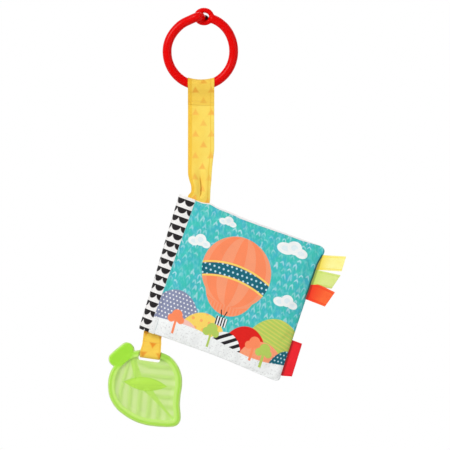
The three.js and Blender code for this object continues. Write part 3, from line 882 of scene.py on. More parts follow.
@dataclass(frozen=True)
class CoverCloth(Finish):
    """The printed cloth of a cover, whose first few millimetres carry the spine's print."""

    scene: bool
    rim_shade: Colour = (14, 52, 56)
    tab_shade: Colour = (10, 48, 24)
    tabs_middle: float = 36.5
    tabs_half: float = 22.5

    def dress(self, sheet: NodeSheet, shader: Node) -> None:
        """Lays the scene, the shade along the free rim and at the tabs, and the spine's print.

        Args:
            sheet: the nodes to write on.
            shader: the material's Principled node.
        """
        plan, look, art = Plan(), CoverScene(), self.cloth(sheet)
        drawn = Print(sheet, art.x - look.start, art.y + plan.height / 2, look.turquoise)
        look.ground(drawn)
        if self.scene:
            for lay in (look.clouds, look.hills, look.balloon, look.foreground):
                lay(drawn)
        art.colour = drawn.colour
        b = art.y / (plan.height / 2)
        high = ((b - 0.7) / 0.3).clipped()
        high = high * high * (3.0 - high * 2.0) * plan.top_flare
        rim = plan.width + high + b * plan.flare - (1.0 - b * b) * plan.draw_in - art.x
        art.lay(((3.4 - rim) / 2.4).clipped() * 0.2, self.rim_shade)
        at_tabs = (art.y - self.tabs_middle).within(self.tabs_half, 1.5)
        art.lay(at_tabs * (1.9 - rim).edge(0.9) * 0.8, self.tab_shade)
        SpinePrint().lay(art, plan.height)
        art.weave(shader, 0.7, 0.0, 0.3, 0.5)


@dataclass(frozen=True)
class MouldedPlastic(Finish):
    """Smooth moulded plastic of one colour, with painted shade in the hollow of its eye."""

    roughness: float
    specular: float
    # The last three fields place, size and colour the painted shade in the eye's hollow.
    recess: tuple[float, float]
    recess_radius: float = 3.0
    recess_colour: Colour = (24, 0, 0)

    def dress(self, sheet: NodeSheet, shader: Node) -> None:
        """Lays the tone, the painted shade in the eye's hollow and the moulded skin.

        Args:
            sheet: the nodes to write on.
            shader: the material's Principled node.
        """
        height, rough = sheet.use("moulded_skin", Place=sheet.solid(), Roughness=self.roughness)
        tone = sheet.noise(sheet.solid(), 30.0)
        colour = sheet.mix(tone * 0.5, self.colour, darker(self.colour, 0.86))
        x, y, z = (way * 1000.0 for way in sheet.apart(sheet.solid()))
        # Painted shade: darker in the hollow of the eye, behind its front, where the hook's tip
        # lies in shadow.
        x, z = (x - self.recess[0]) * 1.5, z - self.recess[1]
        inside = (self.recess_radius - (x * x + z * z).root()).edge(0.9)
        colour = sheet.mix(inside * (y + 0.6).edge(1.6) * 0.92, colour, self.recess_colour)
        gloss = {"Specular_IOR_Level": self.specular}
        sheet.dress(shader, colour, rough, height, (0.12, 0.2), **gloss)


@dataclass(frozen=True)
class LeafPlastic(Finish):
    """The teether's plastic: fuller green where it is thick, paler in the thin web."""

    rim_edge: Colour = (170, 210, 88)
    rim_inner: Colour = (190, 228, 114)
    web: Colour = (200, 224, 144)
    vein: Colour = (184, 218, 118)
    rib: Colour = (178, 220, 94)
    pad: Colour = (176, 222, 74)
    pad_edge: Colour = (160, 208, 66)
    stem: Colour = (156, 218, 50)
    # Colour of the painted shadow that the loop casts on the rim.
    shade: Colour = (136, 192, 52)

    def dress(self, sheet: NodeSheet, shader: Node) -> None:
        """Reads the piece's plane and the attributes it carries.

        Args:
            sheet: the nodes to write on.
            shader: the material's Principled node.
        """
        art, inset = self.cloth(sheet), sheet.stored("inset")
        art.colour = self.web
        self.veins(art)
        self.raised_pad(art)
        on_rim = ((sheet.stored("thick") - 2.95) / 0.5).clipped()
        inner = (1.0 - (inset - 2.7).size() / 1.9).clipped()
        rim = sheet.mix(inner, self.rim_inner, self.colour)
        rim = sheet.mix(((1.5 - inset) / 1.2).clipped(), rim, self.rim_edge)
        art.lay(on_rim, rim)
        art.lay(sheet.stored("stalk") * on_rim, self.stem)
        # Painted shadow of the lower loop on the rim.
        art.lay(sheet.stored("shade") * 0.55, self.shade)
        height, rough = sheet.use("moulded_skin", Place=sheet.solid(), Roughness=0.4)
        flesh = {"Subsurface_Weight": 0.25, "Subsurface_Radius": (0.8, 1.0, 0.35)}
        flesh |= {"Subsurface_Scale": 2.0 * MM, "Specular_IOR_Level": 0.35}
        sheet.dress(shader, art.colour, rough, height, (0.1, 0.2), **flesh)

    def veins(self, art: Print) -> None:
        """The slanting veins and the midrib.

        Args:
            art: the print to lay it on.
        """
        x, z = art.x, art.y
        beside = x - (z - 12.0).most(0.0) * 0.45
        start = (beside * -1.0).over(0.0) * 4.9 + 29.0
        along = (start - z - beside.size()) / VEIN_SPACING
        nearest = ((along + 0.5).fraction() - 0.5).size() * (VEIN_SPACING * 0.707)
        art.lay((2.3 - nearest).edge(2.6), self.vein)
        share = ((z + 38.0) / 38.0).clipped()
        width = 1.0 + share * share * 3.0 - (z - 6.0).most(0.0) * 0.04
        art.lay(beside.within(width, 1.0), self.rib)

    def raised_pad(self, art: Print) -> None:
        """The pad across the leaf, pointed at both ends, with a darker outline.

        Args:
            art: the print to lay it on.
        """
        x, z = art.x - PAD_MIDDLE[0], art.y - PAD_MIDDLE[1]
        along = x * math.cos(PAD_TURN) - z * math.sin(PAD_TURN) + 0.9
        across = x * math.sin(PAD_TURN) + z * math.cos(PAD_TURN)
        share = along / 20.6
        inside = (1.0 - share * share) * PAD_HALF - across.size()
        art.lay(inside.edge(1.2), self.pad)
        line = (inside - 0.3).within(0.35, 0.9)
        fold = (across + 0.9 - share * 1.8).within(0.3, 0.5) * (inside - 1.2).edge(0.8)
        art.lay((line + fold * 0.6).clipped() * 0.7, self.pad_edge)


FINISHES = (
    # The last numbers place the painted shade in the hollow of the ring's eye.
    MouldedPlastic("ring_red", (225, 1, 0), 0.24, 0.08, (6.1, 3.2)),
    LeafPlastic("leaf_green", (160, 214, 60)),
    Ribbon("strap_yellow", (251, 224, 104), (238, 188, 50), 12.5, (245, 176, 74),
           left_band=3.4, selvedge=3.4, uneven=0.4),
    # The fold over the ring takes a darker copy of the strap's colours: painted shade.
    Ribbon("fold_yellow_shaded", (243, 205, 82), (230, 180, 48), 12.5, (230, 164, 54),
           left_band=3.2, mark_start=(9.15, -3.9), selvedge=3.4),
    Ribbon("loop_yellow", (247, 208, 82), (238, 176, 50), 9.0, (232, 140, 30),
           mark_start=(2.7, -4.15)),
    Ribbon("tab_yellow", (255, 249, 160), (250, 222, 60), 7.2, None, 0.9, 9.0, 0.6, 0.2),
    Ribbon("tab_green", (226, 238, 146), (200, 226, 96), 7.2, None, 0.8, 9.0, 0.6, 0.2),
    Ribbon("tab_orange", (252, 106, 46), (244, 44, 8), 7.2, None, 1.0, 14.0, 0.6, 0.2),
    Ribbon("label_red", (240, 22, 38), (206, 8, 22), 16.8, None, 0.5, 2.5, 0.6, 0.1),
    PlainCloth("lining_dots", (243, 241, 236), (120, 206, 206)),
    PlainCloth("page_dots", (247, 243, 244), (250, 176, 130), 12.0, 2.6, last=135.0),
    PlainCloth("thread_yellow", (244, 204, 96), (244, 204, 96)),
    CoverCloth("cover_scene", (58, 192, 180), True),
    CoverCloth("cover_turquoise", (58, 192, 180), False),
)


# ---------------------------------------------------------------- mesh helpers


def smooth_step(value: float, start: float = 0.0, end: float = 1.0) -> float:
    """0 before start, 1 after end, smooth between them."""
    share = min(max((value - start) / (end - start), 0.0), 1.0)
    return share * share * (3 - 2 * share)


def bell(value: float, middle: float, width: float) -> float:
    """1 at the middle, fading to 0 on both sides of it."""
    return math.exp(-(((value - middle) / width) ** 2))


def tilted(degrees: float) -> tuple[Vector, Vector]:
    """The directions across and up of something that hangs at a slant.

    Args:
        degrees: how far it is turned, clockwise as seen from the front.

    Returns:
        Both directions.
    """
    turn = math.radians(degrees)
    across = Vector((math.cos(turn), 0, -math.sin(turn)))
    return across, Vector((math.sin(turn), 0, math.cos(turn)))


def lengths(line: Line, start: float = 0.0) -> list[float]:
    """How far along a line each of its points lies."""
    return list(accumulate(((b - a).length for a, b in zip(line, line[1:])), initial=start))


def through(points: Sequence[Sequence[float]], steps: int) -> list[Vector]:
    """A smooth line through points, with even steps along its length.

    Args:
        points: two or three numbers each.
        steps: how many parts the line is cut into.

    Returns:
        The points of the line, one more than the steps.
    """
    knots = [Vector(tuple(p) + (0.0,) * (3 - len(p))) for p in points]
    ends = [2 * knots[0] - knots[1], *knots, 2 * knots[-1] - knots[-2]]
    dense: list[Vector] = []
    for (a, b, c, d), i in product(zip(ends, ends[1:], ends[2:], ends[3:]), range(24)):
        t = i / 24
        square, cube = (2 * a - 5 * b + 4 * c - d) * t * t, (3 * b - a - 3 * c + d) * t**3
        dense.append(0.5 * (2 * b + (c - a) * t + square + cube))
    dense.append(knots[-1])
    walked = lengths(dense)
    places = np.linspace(0, walked[-1], steps + 1)
    columns = [np.interp(places, walked, [p[k] for p in dense]) for k in range(3)]
    return [Vector(values) for values in zip(*columns)]


def folded(
    front: Sequence[tuple[float, float]], radius: float, middle: float, steps: int
) -> list[Vector]:
    """A folded ribbon's line, seen from its side.

    Args:
        front: (depth, height) points of its front layer. The back mirrors them.
        radius: half the width of the turn that joins both layers.
        middle: the height of the turn's middle.
        steps: how many parts the line is cut into.

    Returns:
        The points of the line.
    """
    angles = np.linspace(0, math.pi, 9)
    turn = [(-radius * math.cos(a), middle + radius * math.sin(a)) for a in angles]
    return through([*front, *turn, *[(-y, z) for y, z in reversed(front)]], steps)


def linked(name: str, data: bpy.types.ID) -> Piece:
    """A new object in the scene.

    Args:
        name: the object's name.
        data: its mesh, lamp or camera.

    Returns:
        The object.
    """
    made = bpy.data.objects.new(name, data)
    bpy.context.scene.collection.objects.link(made)
    return made


def baked(source: Piece, name: str) -> Mesh:
    """The mesh that an object's modifiers make of it. The object is removed.

    Args:
        source: the object.
        name: the mesh's name.

    Returns:
        The mesh.
    """
    bpy.context.view_layer.update()
    graph = bpy.context.evaluated_depsgraph_get()
    mesh = bpy.data.meshes.new_from_object(source.evaluated_get(graph))
    bpy.data.objects.remove(source)
    mesh.name = name
    return mesh


def points_of(mesh: Mesh) -> np.ndarray:
    """A mesh's points in metres, one row each.

    Args:
        mesh: the mesh.

    Returns:
        The points.
    """
    flat = np.zeros(len(mesh.vertices) * 3)
    mesh.vertices.foreach_get("co", flat)
    return flat.reshape(-1, 3)


def store(mesh: Mesh, label: str, values: np.ndarray) -> None:
    """Keeps a number at each point of a mesh for its material."""
    layer = mesh.attributes.new(label, "FLOAT", "POINT")
    layer.data.foreach_set("value", values.astype(np.float32))


def new_piece(
    name: str,
    points: Iterable[Sequence[float]],
    faces: Sequence[Sequence[int]],
    finishes: Sequence[Material],
    cloth: Sequence[tuple[float, float]] | None = None,
    finish_of_face: Sequence[int] | None = None,
    crease: float = 50.0,
) -> Piece:
    """Makes one closed piece from points in millimetres.

    Args:
        name: the piece's name.
        points: its points.
        faces: its faces, as lists of point numbers.
        finishes: its materials.
        cloth: cloth coordinates of each point, in millimetres.
        finish_of_face: which material each face takes.
        crease: degrees between faces past which an edge is drawn sharp.

    Returns:
        The new object, at the origin.
    """
    mesh = bpy.data.meshes.new(name)
    mesh.from_pydata([Vector(p) * MM for p in points], [], [list(f) for f in faces])
    for finish in finishes:
        mesh.materials.append(finish)
    if finish_of_face is not None:
        mesh.polygons.foreach_set("material_index", list(finish_of_face))
    if cloth is not None:
        layer = mesh.uv_layers.new(name="cloth")
        for loop in mesh.loops:
            u, v = cloth[loop.vertex_index]
            layer.data[loop.index].uv = (u / 100, v / 100)
    shaped = bmesh.new()
    shaped.from_mesh(mesh)
    bmesh.ops.recalc_face_normals(shaped, faces=shaped.faces)
    shaped.to_mesh(mesh)
    shaped.free()
    mesh.polygons.foreach_set("use_smooth", [True] * len(mesh.polygons))
    mesh.set_sharp_from_angle(angle=math.radians(crease))
    return linked(name, mesh)


def tube_faces(rings: int, around: int) -> list[list[int]]:
    """The faces of a closed tube, by its number of rings and of points in a ring.

    Args:
        rings: how many rings it has.
        around: how many points a ring has.

    Returns:
        The faces, as lists of point numbers.
    """
    faces = []
    for i, k in product(range(rings - 1), range(around)):
        a, b = i * around + k, i * around + (k + 1) % around
        faces.append([a, b, b + around, a + around])
    last = (rings - 1) * around
    return [*faces, list(range(around)), list(range(last, last + around))]


def sheet_faces(columns: int, rows: int) -> tuple[list[list[int]], list[int]]:
    """The faces of a thin body with a front grid, a back grid and a rim between them.

    Args:
        columns: cells across.
        rows: cells up.

    Returns:
        The faces, and for each 0 for front, 1 for back and 2 for the rim.
    """

    def at(layer: int, i: int, j: int) -> int:
        """Number of a grid point."""
        return (layer * (rows + 1) + j) * (columns + 1) + i

    faces, sort = [], []
    for j, i in product(range(rows), range(columns)):
        corners = [(i, j), (i + 1, j), (i + 1, j + 1), (i, j + 1)]
        faces += [[at(0, *c) for c in corners], [at(1, *c) for c in reversed(corners)]]
        sort += [0, 1]
    border = [(i, 0) for i in range(columns)] + [(columns, j) for j in range(rows)]
    border += [(columns - i, rows) for i in range(columns)] + [(0, rows - j) for j in range(rows)]
    for a, b in zip(border, border[1:] + border[:1]):
        faces.append([at(0, *b), at(0, *a), at(1, *a), at(1, *b)])
        sort.append(2)
    return faces, sort


def ribbon_piece(
    name: str,
    line: Line,
    width: float,
    thickness: float,
    move: Callable[[float, float, float], Sequence[float]],
    finish: Material,
    columns: int = 14,
    start: float = 0.0,
) -> Piece:
    """A ribbon that follows a line seen from its side.

    Args:
        name: the piece's name.
        line: points of (depth, height) along the middle of its thickness.
        width: its width.
        thickness: its thickness.
        move: takes (across, depth, height) to a point of the row frame, in millimetres.
        finish: its material.
        columns: cells across the width.
        start: cloth coordinate at the line's first point.

    Returns:
        The ribbon.
    """
    rows = len(line) - 1
    normals = []
    for i in range(rows + 1):
        way = line[min(i + 1, rows)] - line[max(i - 1, 0)]
        normals.append(Vector((-way.y, way.x, 0)).normalized())
    walked = lengths(line, start)
    points, cloth = [], []
    for way, j, i in product((1, -1), range(rows + 1), range(columns + 1)):
        across = (i / columns - 0.5) * width
        slim = 0.62 if i in (0, columns) or j in (0, rows) else 1.0
        placed = line[j] + normals[j] * (way * thickness / 2 * slim)
        points.append(move(across, placed.x, placed.y))
        cloth.append((across, walked[j]))
    return new_piece(name, points, sheet_faces(columns, rows)[0], [finish], cloth)


def remoulded(source: Piece, name: str, voxel: float, passes: int, finish: Material) -> Piece:
    """A smooth moulding from a piece made of several shapes: one skin with soft inner corners.

    Args:
        source: the shapes, as one object. It is removed.
        name: the new piece's name.
        voxel: grid size in millimetres.
        passes: how often the skin is smoothed.
        finish: its material.

    Returns:
        The moulding.
    """
    grid = source.modifiers.new("skin", "REMESH")
    grid.mode, grid.voxel_size = "VOXEL", voxel * MM
    soft = source.modifiers.new("soft", "SMOOTH")
    soft.factor, soft.iterations = 0.5, passes
    mesh = baked(source, name)
    mesh.materials.clear()
    mesh.materials.append(finish)
    mesh.polygons.foreach_set("use_smooth", [True] * len(mesh.polygons))
    return linked(name, mesh)


# ---------------------------------------------------------------- the ring


@dataclass
class RingClip:
    """The red snap ring: a wire that grows out of an eye and comes back as a hook."""

    wire_radius: float = 4.34
    half_width: float = 31.65
    half_height: float = 32.5
    middle_z: float = -28.5
    lean: float = 1.5
    shoulder: float = 0.45
    shoulder_angle: float = 312.0
    shoulder_width: float = 22.0
    eye_middle: tuple[float, float] = (3.45, 4.5)
    eye_half: tuple[float, float] = (7.2, 6.05)
    eye_wire_radius: float = 2.45
    arm_start: float = 19.0
    arm_steps: int = 60
    hook_steps: int = 18
    wire_steps: int = 260
    hook_start: float = 322.0
    hook_path: tuple[tuple[float, float, float], ...] = (
        (-14.6, -1.2, -0.95), (-8.9, -3.7, 1.5), (-4.6, -5.1, 3.3), (-1.9, -4.9, 4.15),
        (0.3, -2.6, 4.4), (1.8, 0.6, 4.0), (5.0, 3.4, 3.3),
    )
    hook_tip_radius: float = 2.9
    hook_taper: float = 9.5
    sides: int = 36
    voxel: float = 0.42
    passes: int = 14

    def on_ring(self, angle: float) -> Vector:
        """A point of the ring's slightly tall outline, its angle clockwise from the top.

        Args:
            angle: in degrees.

        Returns:
            The point, in millimetres.
        """
        turn = math.radians(angle)
        up = math.cos(turn)
        shift = self.lean * max(up, 0.0) ** 2
        pull = self.shoulder * bell(angle, self.shoulder_angle, self.shoulder_width)
        x = (self.half_width - pull) * math.sin(turn) + shift
        return Vector((x, 0, self.middle_z + (self.half_height - pull) * up))

    def centreline(self) -> tuple[list[Vector], list[float]]:
        """The wire's middle line and its radius at each point.

        Returns:
            The points of the line, and the radius at each.
        """
        part = (self.hook_start - self.arm_start) / self.arm_steps
        arm = [self.on_ring(self.arm_start + i * part) for i in range(self.arm_steps)]
        root = [self.on_ring(self.hook_start - part), self.on_ring(self.hook_start)]
        hook = through([*root, *self.hook_path], self.hook_steps)
        path = through([*arm[:-1], *hook], self.wire_steps)
        radii = []
        for i in range(len(path)):
            left = (len(path) - 1 - i) * (path[1] - path[0]).length
            tip = 1 - smooth_step(left, self.hook_tip_radius, self.hook_taper)
            radii.append(self.wire_radius + (self.hook_tip_radius - self.wire_radius) * tip)
        return path, radii

    def tube(self, path: Line, radii: Sequence[float]) -> tuple[list, list]:
        """A tube with rounded ends, as points and faces.

        Args:
            path: its middle line.
            radii: its radius at each point of the line.

        Returns:
            Its points and faces.
        """
        rings, last = [], len(path) - 1
        for i, (point, radius) in enumerate(zip(path, radii)):
            way = (path[min(i + 1, last)] - path[max(i - 1, 0)]).normalized()
            rings.append((point, radius, way))
        caps = []
        for (point, radius, ahead), way in ((rings[0], -1), (rings[-1], 1)):
            caps.append([
                (point + ahead * (way * radius * math.sin(a)), radius * math.cos(a), ahead)
                for a in (0.35, 0.7, 1.05, 1.35)
            ])
        rings = [*reversed(caps[0]), *rings, *caps[1]]
        points, side = [], Vector((0, 1, 0)).cross(rings[0][2]).normalized()
        for point, radius, way in rings:
            side = (side - way * side.dot(way)).normalized()
            other = way.cross(side)
            for k in range(self.sides):
                a = 2 * math.pi * k / self.sides
                aside, above = radius * math.cos(a), radius * math.sin(a)
                points.append(point + side * aside + other * above)
        return points, tube_faces(len(rings), self.sides)

    def eye(self, start: int, around: int = 64, sides: int = 24) -> tuple[list, list]:
        """The eye's own small ring, as points and faces.

        Args:
            start: the number of its first point.
            around: points round the eye.
            sides: points round its wire.

        Returns:
            Its points and faces.
        """
        middle = Vector((self.eye_middle[0], 0, self.eye_middle[1]))
        points, faces = [], []
        for i, k in product(range(around), range(sides)):
            a, b = 2 * math.pi * i / around, 2 * math.pi * k / sides
            wide, tall = (half + self.eye_wire_radius * math.cos(b) for half in self.eye_half)
            depth = self.eye_wire_radius * math.sin(b)
            points.append(middle + Vector((wide * math.cos(a), depth, tall * math.sin(a))))
            here, ahead, n = i * sides, (i + 1) % around * sides, (k + 1) % sides
            faces.append([start + m for m in (here + k, ahead + k, ahead + n, here + n)])
        return points, faces

    def build(self, wardrobe: Wardrobe) -> Piece:
        """Builds the ring and lets it ride.

        Args:
            wardrobe: the finishes.

        Returns:
            The ring.
        """
        points, faces = self.tube(*self.centreline())
        more_points, more_faces = self.eye(len(points))
        shapes = new_piece("ring_shapes", [*points, *more_points], [*faces, *more_faces], [])
        look = wardrobe["ring_red"]
        ring = remoulded(shapes, "ring_moulding", self.voxel, self.passes, look)
        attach(ring, Body.RING.value)
        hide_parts("ring_clip")
        return ring


# ---------------------------------------------------------------- the strap


@dataclass
class Strap:
    """The printed ribbon strap: a loop over the ring, and the length down to the book."""

    width: float = 25.1
    shift: float = 0.7
    fold_thickness: float = 0.55
    stitch_z: float = -79.2
    wire_low: float = -63.8
    wire_middle: float = -58.2
    eye_half: float = 4.65
    fold_dip: float = 1.9
    loop_end: float = -79.7
    seam: tuple[float, float] = (-1.2, -169.6)
    left_edge: tuple[tuple[float, float], ...] = (
        (-170, -12.0), (-167.5, -11.2), (-164.2, -8.7), (-157.5, -8.7), (-151, -10.8),
        (-146, -11.8),
    )
    right_edge: tuple[tuple[float, float], ...] = (
        (-175, 7.6), (-171, 8.3), (-168, 9.2), (-157, 9.7), (-151, 10.4), (-139, 11.2),
        (-128, 12.5), (-122, 13.2),
    )
    tuck: float = 5.0
    band_half: float = 0.75
    gathers: tuple[float, float] = (128, 156)
    crease: tuple[float, float] = (144, 154)
    pressed: tuple[float, float] = (161.4, 169.6)

    def loop(self, wardrobe: Wardrobe) -> Piece:
        """The part folded over the ring, which ends in two layers round the band's top.

        Args:
            wardrobe: the finishes.

        Returns:
            The ribbon.
        """
        front = [(-0.95, self.loop_end), (-1.0, -78.5), (-1.2, -72.5), (-2.1, -68.6), (-3.9, -64)]
        line = folded(front, self.eye_half, self.wire_middle, 120)

        def move(x: float, y: float, z: float) -> Sequence[float]:
            """Sags the fold between the wire's rising sides and slants the cut end.

            Args:
                x: across the ribbon.
                y: its depth.
                z: its height.

            Returns:
                The point.
            """
            inside = smooth_step((z - self.wire_low) / 7.4)
            dip = self.fold_dip * inside * (1 - (2 * x / self.width) ** 2)
            low = 1 - smooth_step(z, -80.1, -74.0)
            slant = 0.055 * x if y < 0 else -0.02 * x
            bow = 0.18 * math.sin(z * 0.33 + x * 0.21) * (1 - inside)
            return (x + self.shift, y + bow, z - dip - slant * low)

        # The fold wears the darker copy of the strap's colours, painted shade.
        look = wardrobe["fold_yellow_shaded"]
        piece = ribbon_piece(
            "strap_loop_ribbon", line, self.width, self.fold_thickness, move, look, 20
        )
        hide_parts("strap_loop")
        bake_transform(piece)
        return piece

    def band_point(self, s: float, z: float, way: int) -> tuple[float, float, float]:
        """A point of the band's front or back.

        Args:
            s: from -1 at its left edge to 1 at its right.
            z: height on the middle of the band.
            way: -1 for the front, 1 for the back.

        Returns:
            The point, in millimetres.
        """
        seam_x, seam_z = self.seam
        near, edges = (z - 1.5, z, z + 1.5), (self.left_edge, self.right_edge)
        left, right = (float(np.mean(np.interp(near, *zip(*edge)))) for edge in edges)
        x = (left + right + s * (right - left)) / 2
        to_seam = smooth_step(-z, *self.pressed)
        gathered = smooth_step(-z, *self.gathers) * (1 - to_seam)
        valley = bell(s, 0.02, 0.24) * gathered
        crease = bell(s, 0.03, 0.05) * smooth_step(-z, *self.crease) * (1 - to_seam)
        rolls = 0.7 * gathered * math.cos(2 * math.pi * s) + 0.4 * valley + 2.2 * crease
        rolls += 1.5 * smooth_step(-z, 156, 169)
        wave = 0.25 * math.sin(z * 0.11 + 1.4 * s) + 0.2 * math.sin(z * 0.07 - 2.2 * s)
        wave *= smooth_step(-z, 79, 95)
        drop = (self.stitch_z - z) / (self.stitch_z - seam_z)
        lean = -SEAM_SLOPE * (x - seam_x) * min(max(drop, 0.0), 1.0) ** 6
        edge = 0.6 if abs(s) > 0.999 else 1.0
        return (x, rolls + wave * (1 - to_seam) + way * self.band_half * edge, z + lean)

    def band(self, wardrobe: Wardrobe, columns: int = 72, rows: int = 130) -> Piece:
        """The length from the loop's stitching down into the book's top seam.

        Args:
            wardrobe: the finishes.
            columns: cells across.
            rows: cells along.

        Returns:
            The ribbon.
        """
        top, bottom = self.stitch_z + 0.1, self.seam[1] - self.tuck
        points, cloth = [], []
        for way, j, i in product((-1, 1), range(rows + 1), range(columns + 1)):
            z, s = top + (bottom - top) * j / rows, 2 * i / columns - 1
            points.append(self.band_point(s, z, way))
            cloth.append((s * self.width / 2, z))
        faces, _ = sheet_faces(columns, rows)
        piece = new_piece("strap_band_ribbon", points, faces, [wardrobe["strap_yellow"]], cloth)
        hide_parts("strap_band")
        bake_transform(piece)
        return piece

    def build(self, wardrobe: Wardrobe) -> list[Piece]:
        """Builds both lengths."""
        return [self.loop(wardrobe), self.band(wardrobe)]


# ---------------------------------------------------------------- the book


@dataclass
class Plan:
    """The book's own plan: x from the spine's edge, z up the spine from its middle."""

    origin: Vector = field(default_factory=lambda: Vector((-38.75, 0, -228.02)))
    tilt: float = 17.2
    skew: float = 2.9
    height: float = 133.2
    spine_width: float = 15.3
    cover_width: float = 128.4
    flare: float = 1.6
    corner: float = 6.0
    lower_corner: float = 4.0
    sag: float = 2.2
    draw_in: float = 0.7
    crown_reach: float = 24.0
    top_flare: float = 2.4

    @property
    def width(self) -> float:
        """Spine and cover together."""
        return self.spine_width + self.cover_width

    @property
    def along(self) -> Vector:
        """The plan's X axis in the row frame."""
        return tilted(self.tilt)[0]

    @property
    def upward(self) -> Vector:
        """The plan's Z axis in the row frame."""
        return tilted(self.tilt)[1]

    def point(self, x: float, y: float, z: float) -> Vector:
        """A point of the hung book, in millimetres of the row frame."""
        slipped = z - math.tan(math.radians(self.skew)) * x
        return self.origin + self.along * x + Vector((0, y, 0)) + self.upward * slipped

    def free_edge(self, z: float) -> float:
        """How far the free side reaches at height z.

        Args:
            z: height above the spine's middle.

        Returns:
            The distance from the spine's edge.
        """
        radius = self.corner if z > 0 else self.lower_corner
        past = max(abs(z) - (self.height / 2 - radius), 0.0)
        corner = radius - math.sqrt(max(radius**2 - past**2, 0.0))
        b = z / (self.height / 2)
        flare = self.flare * b + self.top_flare * smooth_step(b, 0.7, 1.0)
        return self.width - corner + flare - self.draw_in * (1 - b * b)

    def lift(self, x: float) -> float:
        """How far the strap pulls the top seam up."""
        wide = smooth_step(x, 21, 30) - smooth_step(x, 53, 62)
        return 1.1 * bell(x, 30.5, 4.6) + 0.85 * wide

    def rise(self, distance: float, reach: float) -> float:
        """How full a pad is at a distance from its edge."""
        left = 1 - min(max(distance / reach, 0.0), 1.0)
        return math.sqrt(1 - left * left)


